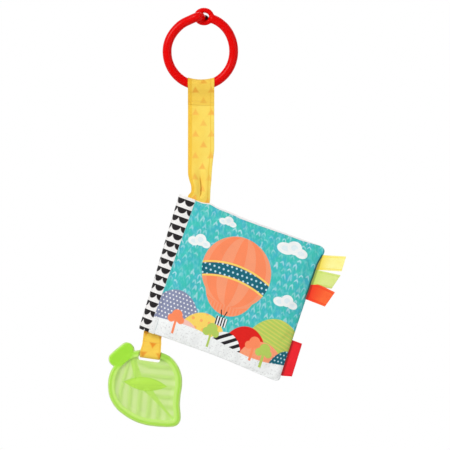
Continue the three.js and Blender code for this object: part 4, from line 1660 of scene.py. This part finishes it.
@dataclass
class Leaf:
    """One padded leaf of the book, a closed form of two cloths sewn round their edges."""

    name: str
    plan: Plan
    side: Side | None
    middle: float
    finishes: tuple[str, str]
    seam_half: float = 0.6
    crown_half: float = 3.1
    room_out: float = 1.5
    room_in: float = 0.15
    top_bow: float = 1.1
    ripple: float = 0.3
    start: float = 10.8
    pucker_reach: float = 9.0
    sagging: tuple[float, float] = (70, 142)
    pressure: float = 4.0
    stiffness: float = 12.0
    thread_mass: float = 0.12
    slack: float = 0.015
    slip: float = 0.8
    cells: int = 64
    frames: int = 20

    def place(self, u: float, v: float) -> tuple[float, float]:
        """Where a cell corner lies in the plan: even cells that get finer at the edges.

        Args:
            u: share of the way from the spine to the free edge.
            v: share of the way up.

        Returns:
            The corner's X and Z.
        """

        def even(t: float) -> float:
            """Cell spacing."""
            return 0.55 * t + 0.45 * (1 - math.cos(math.pi * t)) / 2

        plan = self.plan
        b = 2 * even(v) - 1
        inner = 1.6 * (1 - smooth_step(self.start + even(u) * 20, self.start, self.start + 5))
        z = b * (plan.height / 2)
        x = self.start + (plan.free_edge(z) - self.start) * even(u)
        bow = math.sin(math.pi * min(max(x / plan.width, 0), 1))
        bow *= plan.draw_in if b < 0 else self.top_bow
        sag = plan.sag * smooth_step(x, *self.sagging) * smooth_step(-b, -0.2, 1.0)
        rise = plan.lift(x)
        if self.side is Side.FRONT:
            rise -= 0.6 * bell(x, 124, 12)
        sag -= rise * smooth_step(b, 0.55, 1.0)
        return x, z - b * (bow + inner * (x < plan.spine_width)) - sag

    def half(self, x: float, z: float) -> float:
        """Half the thickness before filling.

        Args:
            x: distance from the spine's edge.
            z: height above the spine's middle.

        Returns:
            Half the thickness.
        """
        plan = self.plan
        ends = plan.rise(plan.height / 2 - plan.draw_in / 2 - abs(z), plan.crown_reach)
        free = plan.rise(plan.free_edge(z) - x, plan.crown_reach)
        before, after = (6.5, 4.5) if self.side else (8, 6)
        fold = smooth_step(x, plan.spine_width - before, plan.spine_width + after)
        return self.seam_half + (self.crown_half - self.seam_half) * ends * free * fold

    def puckers(self, x: float, z: float) -> float:
        """Small gathers that run in from the sewn edges and fade.

        Args:
            x: distance from the spine's edge.
            z: height above the spine's middle.

        Returns:
            How far the cloth stands out.
        """
        to_end = self.plan.height / 2 - abs(z)
        to_free = self.plan.free_edge(z) - x
        ends = math.sin(x * 0.62 + 1.3 * math.sin(x * 0.17)) * bell(to_end, 0, self.pucker_reach)
        free = math.sin(z * 0.58 + 1.5 * math.sin(z * 0.13)) * bell(to_free, 0, self.pucker_reach)
        lift = min(to_end, to_free, 3.0) / 3.0
        return self.ripple * lift * (ends + free) * smooth_step(x, 17, 24)

    def build(self, wardrobe: Wardrobe) -> Piece:
        """Builds the leaf, not riding yet, fills it and gives it its softness.

        Args:
            wardrobe: the finishes.

        Returns:
            The leaf.
        """
        n = self.cells
        points, cloth, sewn = [], [], []
        for way, j, i in product((-1, 1), range(n + 1), range(n + 1)):
            x, z = self.place(i / n, j / n)
            rim = i in (0, n) or j in (0, n)
            full = self.half(x, z) + (0.0 if rim else self.puckers(x, z))
            points.append(self.plan.point(x, self.middle + way * full, z))
            cloth.append((x, z))
            sewn.append(rim)
        faces, sort = sheet_faces(n, n)
        inner = 0 if self.side is Side.BACK else 1
        which = [int(s == inner) for s in sort]
        looks = [wardrobe[name] for name in self.finishes]
        piece = new_piece(self.name, points, faces, looks, cloth, which, 180.0)
        self.fill(piece, np.array(sewn))
        soft = piece.modifiers.new("rounded", "SUBSURF")
        soft.levels = soft.render_levels = 1
        return piece

    def fill(self, piece: Piece, sewn: np.ndarray) -> None:
        """Stuffs the leaf by a cloth simulation and keeps it within its room.

        Args:
            piece: the leaf.
            sewn: which points are held by the seam.
        """
        rest = points_of(piece.data)
        held = piece.vertex_groups.new(name="sewn")
        held.add([int(i) for i in np.nonzero(sewn)[0]], 1.0, "REPLACE")
        cloth = piece.modifiers.new("stuffing", "CLOTH")
        settings = cloth.settings
        settings.quality = 6
        settings.mass = self.thread_mass
        settings.tension_stiffness = settings.compression_stiffness = self.stiffness
        settings.bending_stiffness = 0.2
        settings.use_pressure = True
        settings.uniform_pressure_force = self.pressure
        settings.effector_weights.gravity = 0
        settings.vertex_group_mass = "sewn"
        settings.shrink_min = -self.slack
        cloth.collision_settings.use_collision = False
        cloth.point_cache.frame_start, cloth.point_cache.frame_end = 1, self.frames
        scene = bpy.context.scene
        for number in range(1, self.frames + 1):
            scene.frame_set(number)
        shown = piece.evaluated_get(bpy.context.evaluated_depsgraph_get())
        shift = points_of(shown.data) - rest
        piece.modifiers.remove(cloth)
        scene.frame_set(1)
        outward = np.sign(rest[:, 1] - self.middle * MM)
        towards_page = outward != self.side.value if self.side else np.ones(len(rest), bool)
        out = (rest - np.array(self.plan.origin) * MM) @ np.array(self.plan.along) / MM
        free = np.clip((out - self.plan.spine_width - 1) / 9, 0, 1) if self.side else 1.0
        room = np.where(towards_page, self.room_in, self.room_out) * MM * free
        shift[:, 1] = outward * np.clip(outward * shift[:, 1], -0.15 * MM, room)
        sideways = np.linalg.norm(shift[:, [0, 2]], axis=1)
        cap = np.minimum(1.0, self.slip * MM / np.maximum(sideways, 1e-9))
        shift[:, [0, 2]] *= cap[:, None]
        piece.data.vertices.foreach_set("co", (rest + shift).ravel())
        piece.data.update()


@dataclass
class Binding:
    """The spine's cloth, wrapped round the leaves' sewn roots and closed at both ends."""

    plan: Plan
    half: float = 8.1
    gutter_half: float = 6.6
    round_length: float = 7.0
    end_squeeze: float = 1.5
    bulge: float = 1.0
    bulge_heights: tuple[float, float] = (-30, 45)
    steps: int = 90

    def outline(self) -> list[tuple[float, float, float]]:
        """Section points of (x, y, cloth coordinate), from the front fold round the back.

        Returns:
            The points.
        """
        right, reach = self.plan.spine_width, self.round_length
        front = []
        for t in np.linspace(0, 1, 13):
            x = right - t * (right - reach)
            front.append((x, -self.half + 0.6 * smooth_step(x, right - 3, right)))
        angles = np.linspace(-math.pi / 2, -1.5 * math.pi, 25)[1:-1]
        bend = [(reach * (1 + math.cos(a)), self.half * math.sin(a)) for a in angles]
        section = [*front, *bend, *[(x, -y) for x, y in reversed(front)]]
        gaps = (-math.dist(a, b) for a, b in zip(section, section[1:]))
        walked = accumulate(gaps, initial=right)
        return [(x, y, u) for (x, y), u in zip(section, walked)]

    def build(self, wardrobe: Wardrobe) -> Piece:
        """Builds the binding as one soft closed form.

        Args:
            wardrobe: the finishes.

        Returns:
            The binding.
        """
        plan, section = self.plan, self.outline()
        depths = np.linspace(self.gutter_half, -self.gutter_half, 12)
        ring = [*section, *[(plan.spine_width - 0.3, y, plan.spine_width) for y in depths]]
        points, cloth = [], []
        for j in range(self.steps + 1):
            z = (2 * (j / self.steps) - 1) * plan.height / 2
            to_end = plan.height / 2 - abs(z)
            full = 1 - (1 - smooth_step(to_end, 0, 6)) * self.end_squeeze / self.half
            full *= 0.93 + 0.07 * plan.rise(to_end, 1.2)
            bulge = self.bulge * smooth_step(z, *self.bulge_heights)
            drawn = 0.35 * (1 - plan.rise(to_end, 2.5)) - bulge
            for x, y, u in ring:
                ripple = 0.12 * math.sin(z * 0.41 + x * 0.3) + 0.1 * math.sin(z * 0.23 - x * 0.5)
                depth = y * full + (ripple if y >= 0 else -ripple)
                points.append(plan.point(x + drawn * max(0.0, 1 - x / 9), depth, z))
                cloth.append((u, z))
        count, across = len(section), len(ring)
        spots = [*range(across)] * self.steps + [0, 0]
        which = [(i >= count // 2) + (count <= i < across - 1) for i in spots]
        looks = [wardrobe[look] for look in ("cover_scene", "cover_turquoise", "lining_dots")]
        faces = tube_faces(self.steps + 1, across)
        piece = new_piece("spine_cloth", points, faces, looks, cloth, which, 60.0)
        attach(piece, Body.BOOK.value)
        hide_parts("spine_binding")
        return piece


@dataclass
class Tab:
    """A folded ribbon tab or label in the front cover's free seam."""

    node: str
    body: str
    slot: str
    finish: str
    hinge: Vector
    width: float
    reach: float
    lean: float
    slant: float
    layer: float = 0.5
    gap: float = 0.7
    tuck: float = 4.0
    arch: float = 0.0
    curl: float = 0.0
    fan: float = 0.0
    cover: float = 0.0

    def build(self, plan: Plan, wardrobe: Wardrobe) -> Piece:
        """Builds the tab, its root tucked into the cover's seam.

        Args:
            plan: the book's plan.
            wardrobe: the finishes.

        Returns:
            The tab.
        """
        half = (self.gap + self.layer) / 2
        end = self.reach - self.layer / 2
        front = [(-half * 0.6, -self.tuck), (-half * 0.7, 0), (-half, self.reach * 0.45)]
        line = folded(front, half, end - half, 72)
        skew = math.tan(math.radians(plan.skew))

        def move(up: float, y: float, out: float) -> Sequence[float]:
            """Spreads, slants and curls the tab.

            Args:
                up: along the seam.
                y: its depth.
                out: out from the seam.

            Returns:
                The point.
            """
            share = min(max(out / self.reach, 0.0), 1.0)
            rise = (out / 7) * math.exp(1 - max(out, 0) / 7) if out > 0 else 0.0
            along = out + self.slant * share * up / self.width
            height = up + (self.lean - skew) * out + self.arch * rise * (0.5 + up / self.width)
            height += self.fan * (share - 0.6) * (0.5 - up / self.width)
            depth = y + self.curl * share * share + 0.25 * share * math.sin(up * 0.5)
            return self.hinge + plan.along * along + Vector((0, depth, 0)) + plan.upward * height

        name, look = f"{self.node}_ribbon", wardrobe[self.finish]
        piece = ribbon_piece(name, line, self.width, self.layer, move, look, start=-self.tuck)
        self.mirror_cloth(piece, line)
        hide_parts(self.node)
        root = self.hinge * MM
        out = plan.along * MM
        start, end = root + out * (self.cover - 0.6), root + out * (self.cover + 2.2)
        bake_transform(piece)
        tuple(start)
        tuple(end)
        return piece

    def mirror_cloth(self, piece: Piece, line: Line) -> None:
        """Runs the cloth coordinate out from the seam on both layers.

        Args:
            piece: the tab.
            line: the line that it follows.
        """
        turn = lengths(line)[-1] / 2 - self.tuck
        for item in piece.data.uv_layers["cloth"].data:
            v = item.uv[1] * 100
            item.uv[1] = (v if v <= turn else 2 * turn - v) / 100


@dataclass
class LowerLoop:
    """The short ribbon loop that holds the teether's bar."""

    origin: Vector = field(default_factory=lambda: Vector((-45.37, 0, -297.75)))
    lean: float = 8.0
    width: float = 18.0
    length: float = 18.3
    layer: float = 0.8
    eye_half: float = 4.2
    tuck: float = 5.0

    def build(self, wardrobe: Wardrobe) -> Piece:
        """Builds the loop, its root tucked into the book's bottom seam.

        Args:
            wardrobe: the finishes.

        Returns:
            The loop.
        """
        front = [(-0.5, -self.tuck), (-0.5, 2), (-0.5, 8.4), (-2.2, 12.0), (-self.eye_half, 16.6)]
        line = folded(front, self.eye_half, self.length, 110)
        across, upward = tilted(self.lean)
        slope = SEAM_SLOPE - math.tan(math.radians(self.lean))

        def move(x: float, y: float, drop: float) -> Sequence[float]:
            """Hangs the loop, its root turned to the slope of the seam.

            Args:
                x: across the ribbon.
                y: its depth.
                drop: down from the seam.

            Returns:
                The point.
            """
            near = 1 - smooth_step(drop / (self.length - 9))
            height = -drop - slope * near * x
            low = smooth_step(drop, 9, 16)
            wide = x * (1 - 0.03 * near + 0.07 * low) + 0.5 * (1 - near) - 0.15 * low
            wave = 0.15 * math.sin(drop * 0.5 + x * 0.3)
            return self.origin + across * wide + Vector((0, y + wave, 0)) + upward * height

        look = wardrobe["loop_yellow"]
        piece = ribbon_piece("lower_loop_ribbon", line, self.width, self.layer, move, look, 18)
        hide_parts("lower_loop")
        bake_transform(piece)
        return piece


# ---------------------------------------------------------------- the teether


def ramp(values: np.ndarray, start: float, reach: float) -> np.ndarray:
    """0 up to a start and 1 past its reach, straight between them, for many values."""
    return np.clip((values - start) / reach, 0, 1)


@dataclass
class LeafTeether:
    """The leaf-shaped teether, smoothed from the CAD moulding."""

    bar: Vector = field(default_factory=lambda: Vector((-47.92, 0, -315.87)))
    bar_local: tuple[float, float] = (23.22, 22.46)
    turn: float = 40.0
    voxel: float = 0.48
    passes: int = 5
    web_half: float = 1.3

    def local(self, points: np.ndarray) -> np.ndarray:
        """Points in the leaf's own plane, in millimetres: across, depth and up.

        Args:
            points: points in metres of the row frame.

        Returns:
            The points, one row each.
        """
        a = math.radians(self.turn)
        rel = points / MM - np.array(self.bar)
        x = rel[:, 0] * math.cos(a) + rel[:, 2] * math.sin(a)
        z = -rel[:, 0] * math.sin(a) + rel[:, 2] * math.cos(a)
        return np.stack([x + self.bar_local[0], rel[:, 1], z + self.bar_local[1]], axis=1)

    def build(self, wardrobe: Wardrobe) -> Piece:
        """Builds the teether with the attributes that its finish reads.

        Args:
            wardrobe: the finishes.

        Returns:
            The teether.
        """
        copy = linked("leaf_shapes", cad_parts["leaf_teether"].data.copy())
        merged = bmesh.new()
        merged.from_mesh(copy.data)
        bmesh.ops.remove_doubles(merged, verts=merged.verts, dist=1e-6)
        merged.to_mesh(copy.data)
        merged.free()
        piece = remoulded(copy, "leaf_moulding", self.voxel, self.passes, wardrobe["leaf_green"])
        mesh = piece.data
        points = points_of(mesh)
        place = self.local(points)
        inset = self.inset(place)
        place[:, 1] = self.softened(place, inset)
        points[:, 1] = place[:, 1] * MM
        mesh.vertices.foreach_set("co", points.ravel())
        store(mesh, "thick", np.abs(place[:, 1]))
        store(mesh, "inset", inset)
        from_stem = np.hypot((place[:, 0] - 1.5) / 17.5, (place[:, 2] - 39.4) / 10.5)
        # Where the loop passes the rim: the painted shadow of the loop.
        by_loop = np.hypot((place[:, 0] - 32) / 10, (place[:, 2] - 12.5) / 8)
        store(mesh, "shade", np.clip((1.05 - by_loop) / 0.6, 0, 1))
        store(mesh, "stalk", np.clip((1.1 - from_stem) / 0.35, 0, 1))
        corner = np.zeros(len(mesh.loops), int)
        mesh.loops.foreach_get("vertex_index", corner)
        flat = (place[corner][:, [0, 2]] / 100).astype(np.float32)
        mesh.uv_layers.new(name="cloth").data.foreach_set("uv", flat.ravel())
        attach(piece, Body.TEETHER.value)
        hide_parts("leaf_teether")
        return piece

    def softened(self, place: np.ndarray, inset: np.ndarray) -> np.ndarray:
        """Depths with a soft hollow from the rim to the web, and low veins on the web.

        Args:
            place: points in the leaf's own plane, in millimetres.
            inset: how far each lies in from the outline.

        Returns:
            The depth of each point, in millimetres.
        """
        x, depth, z = place[:, 0], np.abs(place[:, 1]), place[:, 2]
        beside = x - 0.45 * np.maximum(z - 12, 0)
        along = (np.where(beside < 0, 33.9, 29.0) - z - np.abs(beside)) / VEIN_SPACING
        nearest = np.abs((along + 0.5) % 1 - 0.5) * VEIN_SPACING * 0.707
        veined = self.web_half + 0.25 * (1 + np.cos(np.pi * np.clip(nearest / 2.6, 0, 1)))
        pad_x, pad_z = x - PAD_MIDDLE[0], z - PAD_MIDDLE[1]
        along_pad = (pad_x * math.cos(PAD_TURN) - pad_z * math.sin(PAD_TURN)) / 21.5
        across_pad = np.abs(pad_x * math.sin(PAD_TURN) + pad_z * math.cos(PAD_TURN))
        off_pad = ramp(across_pad - (1 - along_pad**2) * PAD_HALF, 0.8, 1.5)
        web = off_pad * ramp(np.abs(beside), 3.4, 1.4) * ramp(inset, 6.8, 1.2)
        depth = np.where(depth < 2.4, depth + (veined - depth) * web, depth)
        from_bar = np.hypot(x - self.bar_local[0], z - self.bar_local[1])
        hollow = self.web_half + 2.4 * (np.clip(12.2 - inset, 0, 6.1) / 6.1) ** 2.4
        raised = np.where(inset > 5.6, np.maximum(depth, hollow), depth)
        return np.sign(place[:, 1]) * (depth + (raised - depth) * ramp(from_bar, 13.5, 2.5))

    def inset(self, place: np.ndarray, count: int = 270) -> np.ndarray:
        """How far each point lies in from the leaf's outline, by its outermost points.

        Args:
            place: points in the leaf's own plane, in millimetres.
            count: how many outermost points there are.

        Returns:
            A distance for each point.
        """
        flat = place[:, [0, 2]]
        angle = np.arctan2(flat[:, 1], flat[:, 0])
        bins = ((angle + math.pi) / (2 * math.pi) * count).astype(int) % count
        reach = np.zeros(count)
        np.maximum.at(reach, bins, np.hypot(flat[:, 0], flat[:, 1]))
        turns = (np.arange(count) + 0.5) / count * 2 * math.pi - math.pi
        nearest = np.full(len(flat), 1e9)
        for start in np.stack([reach * np.cos(turns), reach * np.sin(turns)], axis=1):
            nearest = np.minimum(nearest, np.hypot(*(flat - start).T))
        return nearest


# ---------------------------------------------------------------- stitches


@dataclass
class Stitching:
    """Rows of stitches, laid along a path by geometry nodes."""

    spacing: float = 2.6
    length: float = 2.0
    thickness: float = 0.4
    seed: int = 7

    @property
    def sizes(self) -> dict[str, float]:
        """The tree's sizes by the names of its inputs, in metres."""
        sizes = {"Spacing": self.spacing, "Length": self.length, "Thickness": self.thickness}
        return {label: value * MM for label, value in sizes.items()}

    def tree(self, finish: Material) -> bpy.types.NodeTree:
        """The node tree that lays a stitch at each step of a path, with named inputs.

        Args:
            finish: the thread's material.

        Returns:
            The tree.
        """
        tree = bpy.data.node_groups.new("stitch_row", "GeometryNodeTree")
        new = tree.interface.new_socket
        new("Path", in_out="INPUT", socket_type="NodeSocketGeometry")
        for label, value in self.sizes.items():
            new(label, in_out="INPUT", socket_type="NodeSocketFloat").default_value = value
        new("Seed", in_out="INPUT", socket_type="NodeSocketInt").default_value = self.seed
        new("Stitches", in_out="OUTPUT", socket_type="NodeSocketGeometry")
        sheet = NodeSheet(tree)
        entry, leave = sheet.node("NodeGroupInput"), sheet.node("NodeGroupOutput")
        curve = sheet.node("GeometryNodeMeshToCurve")
        steps = sheet.node("GeometryNodeResampleCurve", mode="LENGTH")
        tangent = sheet.node("GeometryNodeInputTangent")
        aim = sheet.node("FunctionNodeAlignRotationToVector", axis="X")
        bead = sheet.node("GeometryNodeMeshUVSphere")
        sheet.fill(bead, Segments=8, Rings=5, Radius=0.5)
        jitter = sheet.node("FunctionNodeRandomValue")
        jitter.inputs[2].default_value, jitter.inputs[3].default_value = 0.88, 1.1
        scale = sheet.node("ShaderNodeCombineXYZ")
        longer = sheet.node("ShaderNodeMath", operation="MULTIPLY")
        place = sheet.node("GeometryNodeInstanceOnPoints")
        real = sheet.node("GeometryNodeRealizeInstances")
        smooth = sheet.node("GeometryNodeSetShadeSmooth")
        dress = sheet.node("GeometryNodeSetMaterial")
        sheet.fill(dress, Material=finish)
        for source, output, target, socket in (
            (entry, "Path", curve, "Mesh"),
            (curve, "Curve", steps, "Curve"),
            (entry, "Spacing", steps, "Length"),
            (entry, "Seed", jitter, "Seed"),
            (entry, "Length", longer, 0),
            (jitter, 1, longer, 1),
            (longer, 0, scale, "X"),
            (entry, "Thickness", scale, "Y"),
            (entry, "Thickness", scale, "Z"),
            (tangent, 0, aim, "Vector"),
            (steps, "Curve", place, "Points"),
            (bead, "Mesh", place, "Instance"),
            (aim, 0, place, "Rotation"),
            (scale, 0, place, "Scale"),
            (place, 0, real, 0),
            (real, 0, smooth, 0),
            (smooth, 0, dress, "Geometry"),
            (dress, 0, leave, "Stitches"),
        ):
            tree.links.new(source.outputs[output], target.inputs[socket])
        return tree

    def row(self, name: str, path: Line, finish: Material) -> Piece:
        """One row of stitches as a plain mesh, not riding yet.

        Args:
            name: the piece's name.
            path: points in metres.
            finish: the thread's material.

        Returns:
            The row.
        """
        line = bpy.data.meshes.new(name + "_path")
        line.from_pydata(list(path), [(i, i + 1) for i in range(len(path) - 1)], [])
        carrier = linked(name + "_path", line)
        modifier = carrier.modifiers.new("stitches", "NODES")
        modifier.node_group = self.tree(finish)
        for socket in modifier.node_group.interface.items_tree:
            if socket.item_type == "SOCKET" and socket.name in self.sizes:
                modifier[socket.identifier] = self.sizes[socket.name]
        return linked(name, baked(carrier, name))


def on_surface(piece: Piece, points: Line, way: int) -> list[Vector]:
    """Moves points along Y onto a piece's skin.

    Args:
        piece: the piece, as it is shown.
        points: points in metres.
        way: -1 for its front, 1 for its back.

    Returns:
        The points that hit it, in metres.
    """
    tree = BVHTree.FromObject(piece, bpy.context.evaluated_depsgraph_get())
    found = []
    for point in points:
        hit, *_ = tree.ray_cast(Vector((point.x, way * 0.1, point.z)), Vector((0, -way, 0)))
        if hit is not None:
            found.append(hit + Vector((0, way * 0.08 * MM, 0)))
    return found


def stitch_across(
    piece: Piece, middle: Place, along: Place, half: float, body: Body, wardrobe: Wardrobe
) -> list[Piece]:
    """Sews a row of stitches through the front and the back of a ribbon.

    Args:
        piece: the ribbon.
        middle: the row's middle, in millimetres.
        along: the row's direction.
        half: half the row's length.
        body: what the row rides on.
        wardrobe: the finishes.

    Returns:
        Both rows.
    """
    rows = []
    flat = [(Vector(middle) + Vector(along) * t) * MM for t in np.linspace(-half, half, 30)]
    for side in Side:
        name = f"{piece.name}_{side.name.lower()}_stitches"
        path = on_surface(piece, flat, side.value)
        row = Stitching().row(name, path, wardrobe["thread_yellow"])
        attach(row, body.value)
        rows.append(row)
    return rows


# ---------------------------------------------------------------- the whole book


@dataclass
class Book:
    """The padded cloth book with its tabs."""

    plan: Plan = field(default_factory=Plan)
    cover_middle: float = 5.35

    def cover(self, side: Side, wardrobe: Wardrobe) -> Piece:
        """One padded cover, thin where it meets the binding.

        Args:
            side: front or back.
            wardrobe: the finishes.

        Returns:
            The cover.
        """
        front = side is Side.FRONT
        word, outer = ("front", "cover_scene") if front else ("back", "cover_turquoise")
        looks = (outer, "lining_dots")
        leaf = Leaf(f"{word}_cover_pad", self.plan, side, side.value * self.cover_middle, looks)
        if front:
            leaf.top_bow = 2.1
        piece = leaf.build(wardrobe)
        nodes = [f"{word}_cover_{part}" for part in ("print", "lining", "batting", "root")]
        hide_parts(*nodes)
        start = self.plan.point(self.plan.spine_width - 0.3, 0, 0) * MM
        end = start + self.plan.along * (5.3 * MM)
        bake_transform(piece)
        return piece

    def page(self, wardrobe: Wardrobe) -> Piece:
        """The middle leaf, which stays with the spine.

        Args:
            wardrobe: the finishes.

        Returns:
            The page.
        """
        leaf = Leaf(
            "page_pad", self.plan, None, 0.0, ("page_dots", "page_dots"), seam_half=0.45,
            crown_half=1.5, room_out=0.12, room_in=0.12, top_bow=0.15, ripple=0.12,
        )
        piece = leaf.build(wardrobe)
        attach(piece, Body.BOOK.value)
        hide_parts("page_front_skin", "page_back_skin", "page_crinkle_film")
        return piece

    def tabs(self, wardrobe: Wardrobe) -> list[Piece]:
        """The three ribbon tabs and the bare label.

        Args:
            wardrobe: the finishes.

        Returns:
            The tabs and the label.
        """
        kinds = (
            Tab("yellow_tab", "yellow_tag", "yellow_ribbon", "tab_yellow",
                Vector((113.59, -5.35, -229.10)), 14.9, 21.9, 0.3, 0.0, curl=-1.2, cover=1.6),
            Tab("green_tab", "green_tag", "green_ribbon", "tab_green",
                Vector((108.59, -5.35, -243.22)), 14.9, 20.6, 0.14, 4.5, curl=0.8),
            Tab("orange_tab", "orange_tag", "orange_ribbon", "tab_orange",
                Vector((103.65, -5.35, -257.37)), 14.9, 20.4, -0.01, 5.2, arch=2.4, curl=-1.0),
            Tab("side_label", "red_tag", "red_ribbon", "label_red",
                Vector((83.16, -5.35, -319.00)), 33.6, 9.0, 0.0, 0.0, fan=2.6),
        )
        return [tab.build(self.plan, wardrobe) for tab in kinds]

    def build(self, wardrobe: Wardrobe) -> list[Piece]:
        """Builds the whole book.

        Args:
            wardrobe: the finishes.

        Returns:
            Its pieces.
        """
        pieces = [Binding(self.plan).build(wardrobe), self.page(wardrobe)]
        pieces += [self.cover(side, wardrobe) for side in Side]
        return pieces + self.tabs(wardrobe)


# ---------------------------------------------------------------- the studio


@dataclass(frozen=True)
class FloorPaint(Finish):
    """Matt pale paint."""

    def dress(self, sheet: NodeSheet, shader: Node) -> None:
        """Lays a faint tone.

        Args:
            sheet: the nodes to write on.
            shader: the material's Principled node.
        """
        tone = sheet.noise(sheet.solid(), 3.0)
        colour = sheet.mix(tone * 0.3, (238, 238, 238), (230, 230, 230))
        sheet.fill(shader, Base_Color=colour, Roughness=0.8)


@dataclass
class Studio:
    """A plain pale floor, soft light and the photograph's camera."""

    frame_width: float = 427.5
    middle: tuple[float, float] = (23.4, -193.5)
    distance: float = 3000.0
    sensor: float = 36.0
    floor_z: float = -600.0
    surround: float = 0.48

    def camera(self) -> None:
        """Puts up the camera, straight in front."""
        data = bpy.data.cameras.new("camera")
        data.sensor_width = self.sensor
        data.lens = self.sensor * self.distance / self.frame_width
        data.clip_start, data.clip_end = 0.1, 30
        camera = linked("camera", data)
        camera.location = Vector((self.middle[0], -self.distance, self.middle[1])) * MM
        camera.rotation_euler = (math.pi / 2, 0, 0)
        bpy.context.scene.camera = camera

    def lamp(self, name: str, place: Sequence[float], size: float, power: float) -> None:
        """A soft square lamp that faces the book.

        Args:
            name: the lamp's name.
            place: where it hangs, in metres.
            size: its side, in metres.
            power: its power in watts.
        """
        data = bpy.data.lights.new(name, "AREA")
        data.size, data.energy = size, power
        lamp = linked(name, data)
        lamp.location = place
        aim = Vector((self.middle[0] * MM, 0, self.middle[1] * MM)) - Vector(place)
        lamp.rotation_euler = aim.to_track_quat("-Z", "Y").to_euler()

    def world(self) -> None:
        """A white surround that lights the book softly and shows white behind it."""
        world = bpy.data.worlds.new("studio")
        world.use_nodes = True
        bpy.context.scene.world = world
        sheet = NodeSheet(world.node_tree)
        rays = sheet.node("ShaderNodeLightPath").outputs
        camera, glossy, through_glass = (
            Signal(sheet, rays[f"Is {kind} Ray"]) for kind in ("Camera", "Glossy", "Transmission")
        )
        seen = camera.most(glossy).most(through_glass)
        strength = self.surround + seen * (1.0 - self.surround)
        background = world.node_tree.nodes["Background"]
        sheet.fill(background, Color=(1, 1, 1, 1), Strength=strength)

    def floor(self, size: float = 1.4) -> None:
        """A wide pale floor below the hanging book.

        Args:
            size: half its side, in metres.
        """
        z = self.floor_z * MM
        mesh = bpy.data.meshes.new("floor")
        corners = [(-size, -size, z), (size, -size, z), (size, size, z), (-size, size, z)]
        mesh.from_pydata(corners, [], [(0, 1, 2, 3)])
        mesh.materials.append(FloorPaint("floor_paint", (236, 236, 236)).make())
        linked("floor", mesh)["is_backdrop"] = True

    def build(self) -> None:
        """Builds the studio."""
        bpy.context.scene.view_settings.view_transform = "Standard"
        self.world()
        self.lamp("key_lamp", (-1.2, -1.5, 1.0), 1.0, 31)
        self.lamp("fill_lamp", (1.5, -1.5, 0.1), 1.6, 7)
        self.lamp("back_lamp", (0.6, 1.8, 1.0), 1.6, 14)
        self.floor()


def main() -> None:
    """Builds the studio and every sub-assembly, and reports each piece."""
    logging.basicConfig(level=logging.INFO, format="%(message)s")
    studio = Studio()
    studio.camera()
    for effect in EFFECTS:
        effect.build()
    wardrobe = {finish.name: finish.make() for finish in FINISHES}
    pieces = [RingClip().build(wardrobe)]
    strap = Strap().build(wardrobe)
    lower = LowerLoop().build(wardrobe)
    pieces += [*strap, *Book().build(wardrobe), lower, LeafTeether().build(wardrobe)]
    for ribbon, middle, along, half, body in (
        (strap[0], (0.7, 0, -76.4), (1, 0, -0.055), 11.2, Body.STRAP_TOP),
        (lower, (-46.3, 0, -304.9), (0.99, 0, -0.14), 8.0, Body.LOOP),
    ):
        pieces += stitch_across(ribbon, middle, along, half, body, wardrobe)
    studio.build()
    for piece in pieces:
        log.info("%s: %d faces", piece.name, len(piece.data.polygons))
    boxes = {"cad": CAD_BOX, "visual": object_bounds()}
    {name: [list(corner) for corner in box] for name, box in boxes.items()}


if __name__ == "__main__":
    main()
